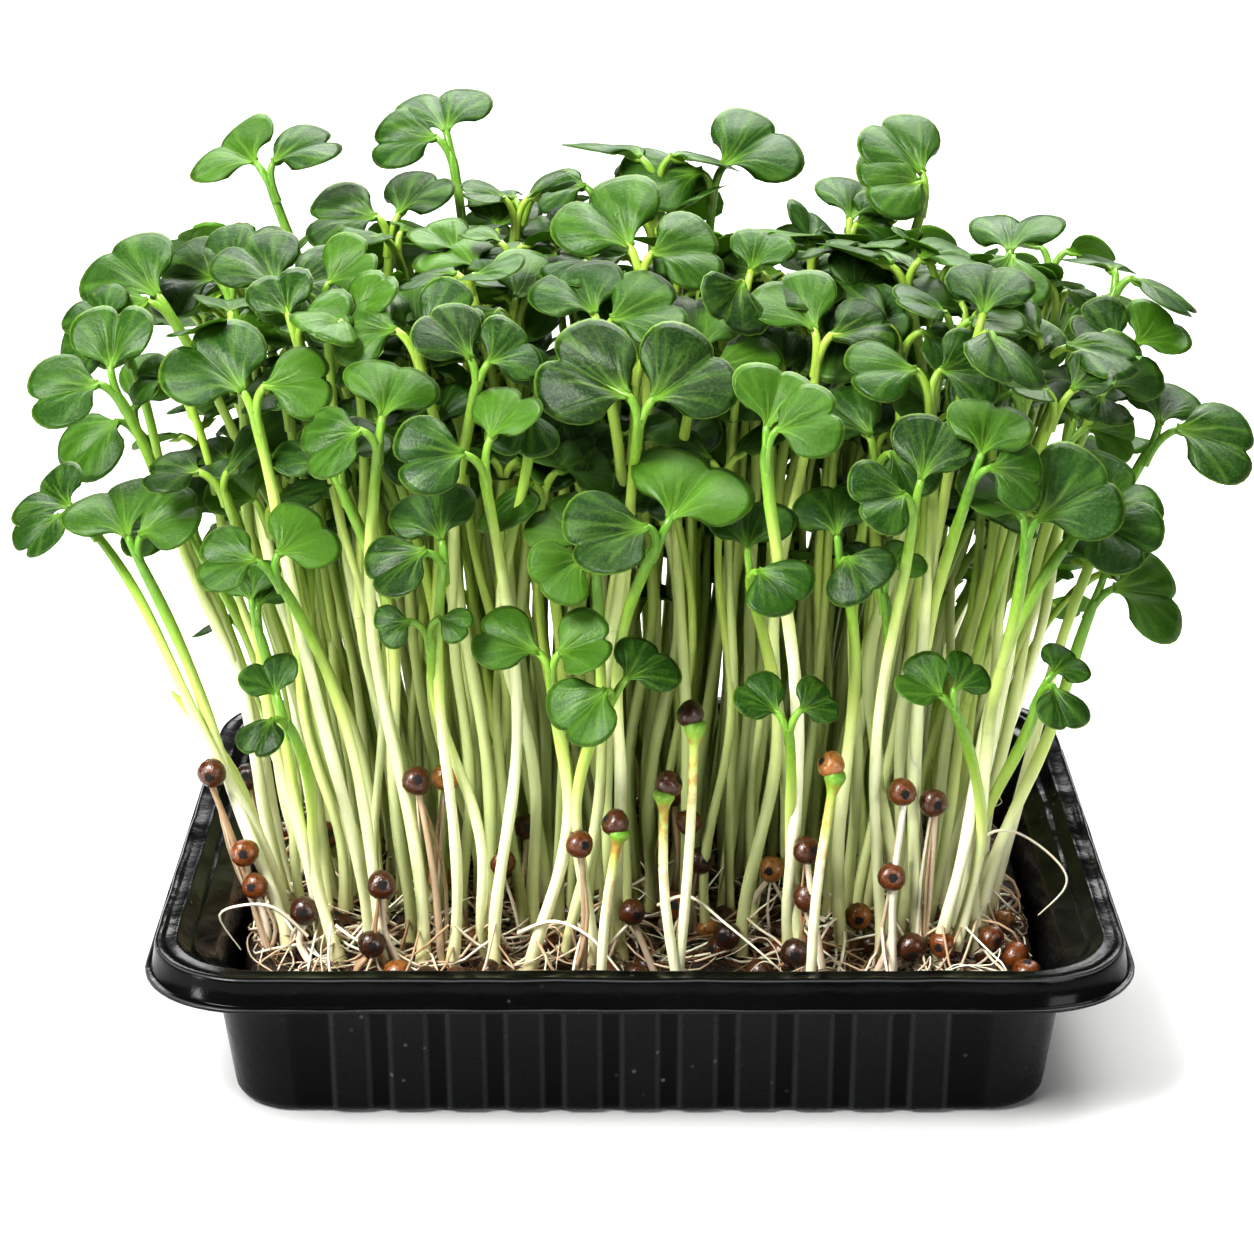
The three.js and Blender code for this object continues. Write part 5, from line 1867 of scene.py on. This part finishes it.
def make_stem_finish(name, shade=0.0):
    material, tree = new_finish(name)
    green = read(tree, "green")
    uneven = times(tree, minus(tree, read(tree, "tone"), 0.5), 0.22)
    share = plus(tree, green, times(tree, uneven, span(tree, green, 0.0, 0.4)))
    part = split(tree, object_place(tree))
    across = maths(tree, "DIVIDE", maths(tree, "ABSOLUTE", part["X"]), MAT.half_width * MM)
    deep = maths(tree, "DIVIDE", maths(tree, "ABSOLUTE", part["Y"]), MAT.half_depth * MM)
    # Stems in the middle of the crowd are painted darker and greener: painted shade and green bounce light.
    # `shade` adds a fixed share of the same.
    middle = span(tree, maths(tree, "MAXIMUM", across, deep), 0.88, 0.5, 0.0, 0.62)
    blotches = span(tree, noise(tree, 420.0, 3.0), 0.42, 0.6, 0.1, 0.75)
    streaks = put(tree, "ShaderNodeMapping", {"Vector": object_place(tree), "Scale": (1.0, 1.0, 0.06)})
    fine = noise(tree, 2600.0, 2.0, vector=streaks)
    base = coats(
        tree,
        ramp(tree, share, WHITE_TO_GREEN),
        # painted shade: darker and greener in the middle of the crowd, or by the fixed shade
        (maths(tree, "MAXIMUM", middle, shade), (158, 178, 66)),
        (times(tree, read(tree, "stain"), blotches), (178, 104, 52)),
        (span(tree, fine, 0.4, 0.7, 0.0, 0.16), (190, 206, 124)),
        (times(tree, read(tree, "foot"), 0.6), (192, 176, 122)),
    )
    stem = surface(
        tree,
        Base_Color=base,
        Normal=bump(tree, fine, 0.15, 0.0003),
        Roughness=0.36,
        Specular_IOR_Level=0.45,
        Subsurface_Weight=0.25,
        Subsurface_Scale=0.0016,
        Subsurface_Radius=(1.0, 1.0, 0.45),
    )
    finish_with(tree, stem)
    return material


# %% [markdown]
# The blade's attribute holds how far a point is from the base, in which direction it lies and which
# side it is on. Veins fan out from the base, so they are bands of direction. The leaf is
# waxy on top, paler below, and light shines through it. Soft lighter streaks along its rays paint its
# satin sheen into the colour: a painted sheen.

# %% Veins and painted sheen
VEIN_SPACING = 0.34  # in direction, of which the whole blade spans -1 to 1


def leaf_veins(tree, out, direction, aside):
    """1 on a vein and 0 between. Veins part, get finer and fade on their way to the edge."""
    bent = plus(tree, direction, times(tree, minus(tree, noise(tree, 260.0, 2.0), 0.5), 0.2))
    fold = maths(tree, "PINGPONG", bent, VEIN_SPACING / 2)
    parting = plus(tree, times(tree, times(tree, out, out), 0.9), 0.07)
    vein = span(tree, times(tree, fold, parting), 0.016, 0.002)
    vein = times(tree, vein, span(tree, out, 0.92, 0.35))
    return times(tree, vein, span(tree, aside, 0.1, 0.25, 1.0, 0.55))


def leaf_sheen_streaks(tree, out, direction, tone):
    """Long soft streaks along the rays of the blade, other ones on every leaf, for a painted sheen and
    relief.
    """
    rays = {"X": times(tree, direction, 9), "Y": times(tree, out, 1.6), "Z": times(tree, tone, 20)}
    return noise(tree, 1.0, 3.0, vector=put(tree, "ShaderNodeCombineXYZ", rays))


# %% Waxy leaf
def make_leaf_finish():
    material, tree = new_finish("waxy_leaf")
    out, direction, side = split(tree, read(tree, "blade", "Vector"))
    tone = read(tree, "tone")
    aside = maths(tree, "ABSOLUTE", direction)
    vein = leaf_veins(tree, out, direction, aside)
    sheen_streaks = leaf_sheen_streaks(tree, out, direction, tone)
    cells = {"Vector": object_place(tree), "Scale": 620.0}
    net = put(tree, "ShaderNodeTexVoronoi", cells, feature="DISTANCE_TO_EDGE")
    fine_vein = span(tree, net.outputs["Distance"], 0.07, 0.0)
    patches = noise(tree, 120.0, 3.0)
    grain = noise(tree, 2400.0, 2.0, 0.6)
    near_base = span(tree, out, 0.5, 0.05, 0.0, 0.85)
    edge = maths(tree, "MAXIMUM", span(tree, out, 0.975, 0.997), span(tree, aside, 0.975, 0.997))
    depth = weighted_sum(tree, (tone, 0.65), (patches, 0.35))
    top = coats(
        tree,
        ramp(tree, depth, [(0.12, (13, 40, 3)), (0.5, (28, 68, 7)), (0.9, (76, 118, 26))]),
        (times(tree, fine_vein, 0.06), (140, 176, 80)),
        # painted sheen: lighter streaks along the rays
        (span(tree, sheen_streaks, 0.42, 0.68, 0.0, 0.3), (106, 150, 56)),
        (span(tree, grain, 0.45, 0.75, 0.0, 0.2), (104, 148, 48)),
        (times(tree, vein, 0.42), (150, 184, 90)),
        (near_base, (110, 154, 44)),
        (times(tree, edge, span(tree, out, 0.2, 0.6, 0.2, 0.7)), (158, 190, 84)),
    )
    below = coats(
        tree, colour(90, 138, 36), (times(tree, vein, 0.5), (150, 184, 84)), (near_base, (122, 164, 54))
    )
    base = blend(tree, span(tree, side, -0.3, 0.3), below, top)
    pores = noise(tree, 900.0, 4.0, 0.7)
    height = weighted_sum(tree, (vein, -0.25), (patches, 0.6), (pores, 0.35), (sheen_streaks, 0.5), (grain, 0.12))
    relief = bump(tree, height, 0.6, 0.0005)
    shine = span(tree, patches, 0.3, 0.7, 0.36, 0.52)
    waxy = surface(tree, Base_Color=base, Roughness=shine, Normal=relief, Specular_IOR_Level=0.34)
    lit = coats(tree, base, (0.6, (152, 186, 40)))
    through = put(tree, "ShaderNodeBsdfTranslucent", {"Color": lit, "Normal": relief})
    finish_with(tree, put(tree, "ShaderNodeMixShader", {0: 0.28, 1: waxy, 2: through}))
    return material


# %% Make the finishes
TRAY_FINISH = make_tray_finish()
MAT_FINISH = make_mat_finish("damp_coir")
FIBRE_FINISH = make_mat_finish("coir_fibre", 0.22)
ROOT_FINISH = make_root_finish()
HULL_FINISH = make_hull_finish()
STEM_FINISH = make_stem_finish("white_to_green_stem")
# A shaded copy of the stem finish: painted shade for the stems between the planned ones.
SHADED_STEM_FINISH = make_stem_finish("shaded_stem", 0.44)
LEAF_FINISH = make_leaf_finish()
print("finishes:", [material.name for material in bpy.data.materials])

# %% [markdown]
# ## Make the pieces
#
# Every piece rides on the one body and, where it stands for a CAD solid, hides that solid.

# %% Place a piece in the frame
def settle(piece, slot, *nodes):
    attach(piece, "root")
    if nodes:
        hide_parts(*nodes)


# %% Tray and mat
settle(make_tray(TRAY_FINISH), "tray_plastic", "tray")
settle(make_mat(MAT_FINISH), "mat_fibre", "growing_mat")
settle(make_fibres(FIBRE_FINISH), "mat_fibre")

# %% [markdown]
# The crowd is what makes it a tray of microgreens and not a vase: between the planned seedlings stand
# many more, shorter ones. They follow the same rules, with numbers and a seed of their own.

# %% More seedlings between the planned ones
CROWD.middle_z = 113
CROWD.spread = 19
CROWD.side_drop = 9
CROWD.sizes = (0.75, 1.05)
CROWD.foot_weight = 1.4
CROWD.fan_x, CROWD.fan_y = 0.25, 0.19
CLEAR.stems, CLEAR.leaf_to_leaf, CLEAR.leaf_to_stem = 2.3, 1.5, 1.9
CLEAR.attempts = 20
FILLER_PAIRS = 96
FRONT_STRIP = 20  # the fillers stand this much further from the front wall than from the back one
UNDERSTOREY_PAIRS = 58  # lower plants, which close the view between the stems
UNDERSTOREY_STRIP = 48
draw = seeded_draw(23)
planned = [plant for pair in pairs for plant in pair]
filler_pairs = plan_crowd(draw, planned, FILLER_PAIRS, FRONT_STRIP)
CROWD.middle_z = 86
CROWD.spread = 20
filler_pairs += plan_crowd(draw, planned, UNDERSTOREY_PAIRS, UNDERSTOREY_STRIP)
plan_stems(filler_pairs, draw, [plant.corners for plant in planned])
standing_leaves = [
    point
    for plant in planned
    for leaf in plant.leaves
    for point in leaf_points(leaf, SAMPLE_ALONG, SAMPLE_ACROSS)
]
plan_leaves(filler_pairs, draw, standing_leaves, [plant.corners for plant in planned])
fillers = [plant for pair in filler_pairs for plant in pair]

# %% Give every seedling its growth
FRONT_TO_Y = 5  # the feet nearer than this show between the stems
rng = np.random.default_rng(19)


def grow_up(plants, green_reach, thickness, sway_reach, grown, rise, roll):
    """Draws how green and thick each stem is, how far it sways and how each leaf sits.

    `grown` is how much bigger a fine blade is than its CAD solid. `rise` and `roll` tip it.
    """
    for plant in plants:
        # Stems further back, and more so the ones between, are green further down: a painted shade for the
        # crowd.
        plant.green_reach = np.interp(plant.foot[1], (-32, FRONT_TO_Y), green_reach)
        plant.thickness = rng.uniform(*thickness)
        plant.sway = rng.uniform(*sway_reach)
        for leaf in plant.leaves:
            leaf.closer = rng.uniform(1.2, 2.8)
            leaf.grown = rng.uniform(*grown)
            leaf.up = unit(leaf.up - rng.uniform(*rise) * leaf.along + rng.uniform(-roll, roll) * leaf.across)
            leaf.across = unit(np.cross(leaf.up, leaf.along))
            leaf.along = np.cross(leaf.across, leaf.up)


grow_up(
    planned,
    green_reach=(46, 74),
    thickness=(0.84, 1.0),
    sway_reach=(1.0, 2.3),
    grown=(1.12, 1.2),
    rise=(-0.12, 0.3),
    roll=0.15,
)
grow_up(
    fillers,
    green_reach=(60, 84),
    thickness=(0.68, 0.95),
    sway_reach=(1.0, 2.2),
    grown=(1.05, 1.2),
    rise=(-0.3, 0.9),
    roll=0.5,
)
print(len(planned), "planned seedlings and", len(fillers), "more between them")

# %% Roots, hulls and pale stems
stems = make_pale_stems("pale_stems", planned, sides=9, steps=18, material=STEM_FINISH)
settle(stems, "root_and_stem", "roots_and_stems")
stems = make_pale_stems("pale_stems_between", fillers, sides=7, steps=15, material=SHADED_STEM_FINISH)
settle(stems, "root_and_stem")
settle(make_roots(ROOT_FINISH), "root_and_stem", "roots_and_stems")
front = [plant for plant in planned if plant.foot[1] < FRONT_TO_Y]
behind = [plant for plant in planned if plant.foot[1] >= FRONT_TO_Y] + fillers
crowns = make_crown_roots(
    "front_crowns",
    front,
    counts=(4, 7),
    heights=(1.5, 8),
    lengths=(16, 38),
    branches=2,
    tones=(0.6, 1),
    material=ROOT_FINISH,
)
settle(crowns, "root_and_stem")
# The crowns behind the front row get darker tones than the front ones: painted shade, partly stain.
crowns = make_crown_roots(
    "crowns_behind",
    behind,
    counts=(1, 2),
    heights=(1, 4),
    lengths=(12, 28),
    branches=0,
    tones=(0.1, 0.6),
    material=ROOT_FINISH,
)
settle(crowns, "root_and_stem")
clinging = clinging_hulls(planned)
late = late_sprout_tips(planned)
settle(make_hulls(clinging, late, HULL_FINISH), "mat_fibre", "growing_mat")
settle(make_hull_stalks(clinging, ROOT_FINISH), "root_and_stem")
settle(make_late_sprouts(late, STEM_FINISH), "root_and_stem")

# %% Leafy tops
GROUP = 24  # seedlings to a piece between the planned ones
rng = np.random.default_rng(8)
for number, pair in enumerate(pairs):
    name = node_name(number)
    tops = make_tops(f"fine_{name}", pair, FINE_BLADES, 8, rng, STEM_FINISH, LEAF_FINISH)
    settle(tops, "leaf", name)
for first in range(0, len(fillers), GROUP):
    group = fillers[first : first + GROUP]
    name = f"tops_between_{first // GROUP + 1}"
    settle(make_tops(name, group, SMALL_BLADES, 6, rng, SHADED_STEM_FINISH, LEAF_FINISH), "leaf")

# %% [markdown]
# ## Light and floor
#
# A soft box high on the left in front gives the leaves their satin sheen, and a low strip on the left
# lights the stems. A weaker box fills from the right, and a wide one behind and above shines through the
# leaves. The floor is a plain pale sheet with a light of its own.

# %% Light
def soft_box(name, place, aim, size, power):
    light = bpy.data.objects.new(name, bpy.data.lights.new(name, "AREA"))
    light.data.shape = "RECTANGLE"
    light.data.size, light.data.size_y = size
    light.data.energy = power
    light.location = place
    away = np.array(place) - np.array(aim)
    light.rotation_euler = (math.acos(away[2] / np.linalg.norm(away)), 0, math.atan2(away[0], -away[1]))
    bpy.context.scene.collection.objects.link(light)


MIDDLE = (0, 0, 0.07)
soft_box("key_soft_box", (-0.6, -0.6, 1.0), MIDDLE, (0.45, 0.45), 33)
soft_box("low_strip", (-1.0, -0.62, 0.16), MIDDLE, (0.16, 0.3), 5)
soft_box("fill_soft_box", (0.75, -0.9, 0.45), MIDDLE, (0.5, 0.5), 6)
soft_box("top_soft_box", (0.2, 0.36, 0.92), MIDDLE, (0.6, 0.4), 11)
soft_box("floor_wash", (0, 2.2, 1.6), (0, 1.6, 0), (3.0, 1.0), 110)
print("lights:", [light.name for light in bpy.data.lights])

# %% Background and contrast
world = bpy.data.worlds.new("pale_room")
bpy.context.scene.world = world
world.use_nodes = True
background = world.node_tree.nodes["Background"].inputs
background["Color"].default_value = (1.0, 1.0, 0.98, 1)
background["Strength"].default_value = 0.014
# A print with a little more contrast than the scene has, as product pictures are made.
view = bpy.context.scene.view_settings
view.view_transform = "Standard"
view.exposure = 0.2
view.gamma = 0.85

# %% Floor
FLOOR_CORNERS = [(-3000, -1500, 0), (3000, -1500, 0), (3000, 4500, 0), (-3000, 4500, 0)]
floor = new_piece("floor", FLOOR_CORNERS, faces=[(0, 1, 2, 3)])
floor_finish, floor_tree = new_finish("pale_floor")
finish_with(floor_tree, surface(floor_tree, Base_Color=colour(196, 196, 195), Roughness=0.8))
floor.data.materials.append(floor_finish)
floor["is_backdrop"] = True
print("the floor reaches from", FLOOR_CORNERS[0], "to", FLOOR_CORNERS[2], "mm")

boxes = {"cad": cad_box, "visual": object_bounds()}
{name: [[float(value) for value in corner] for corner in box] for name, box in boxes.items()}
print("visual box", boxes["visual"])
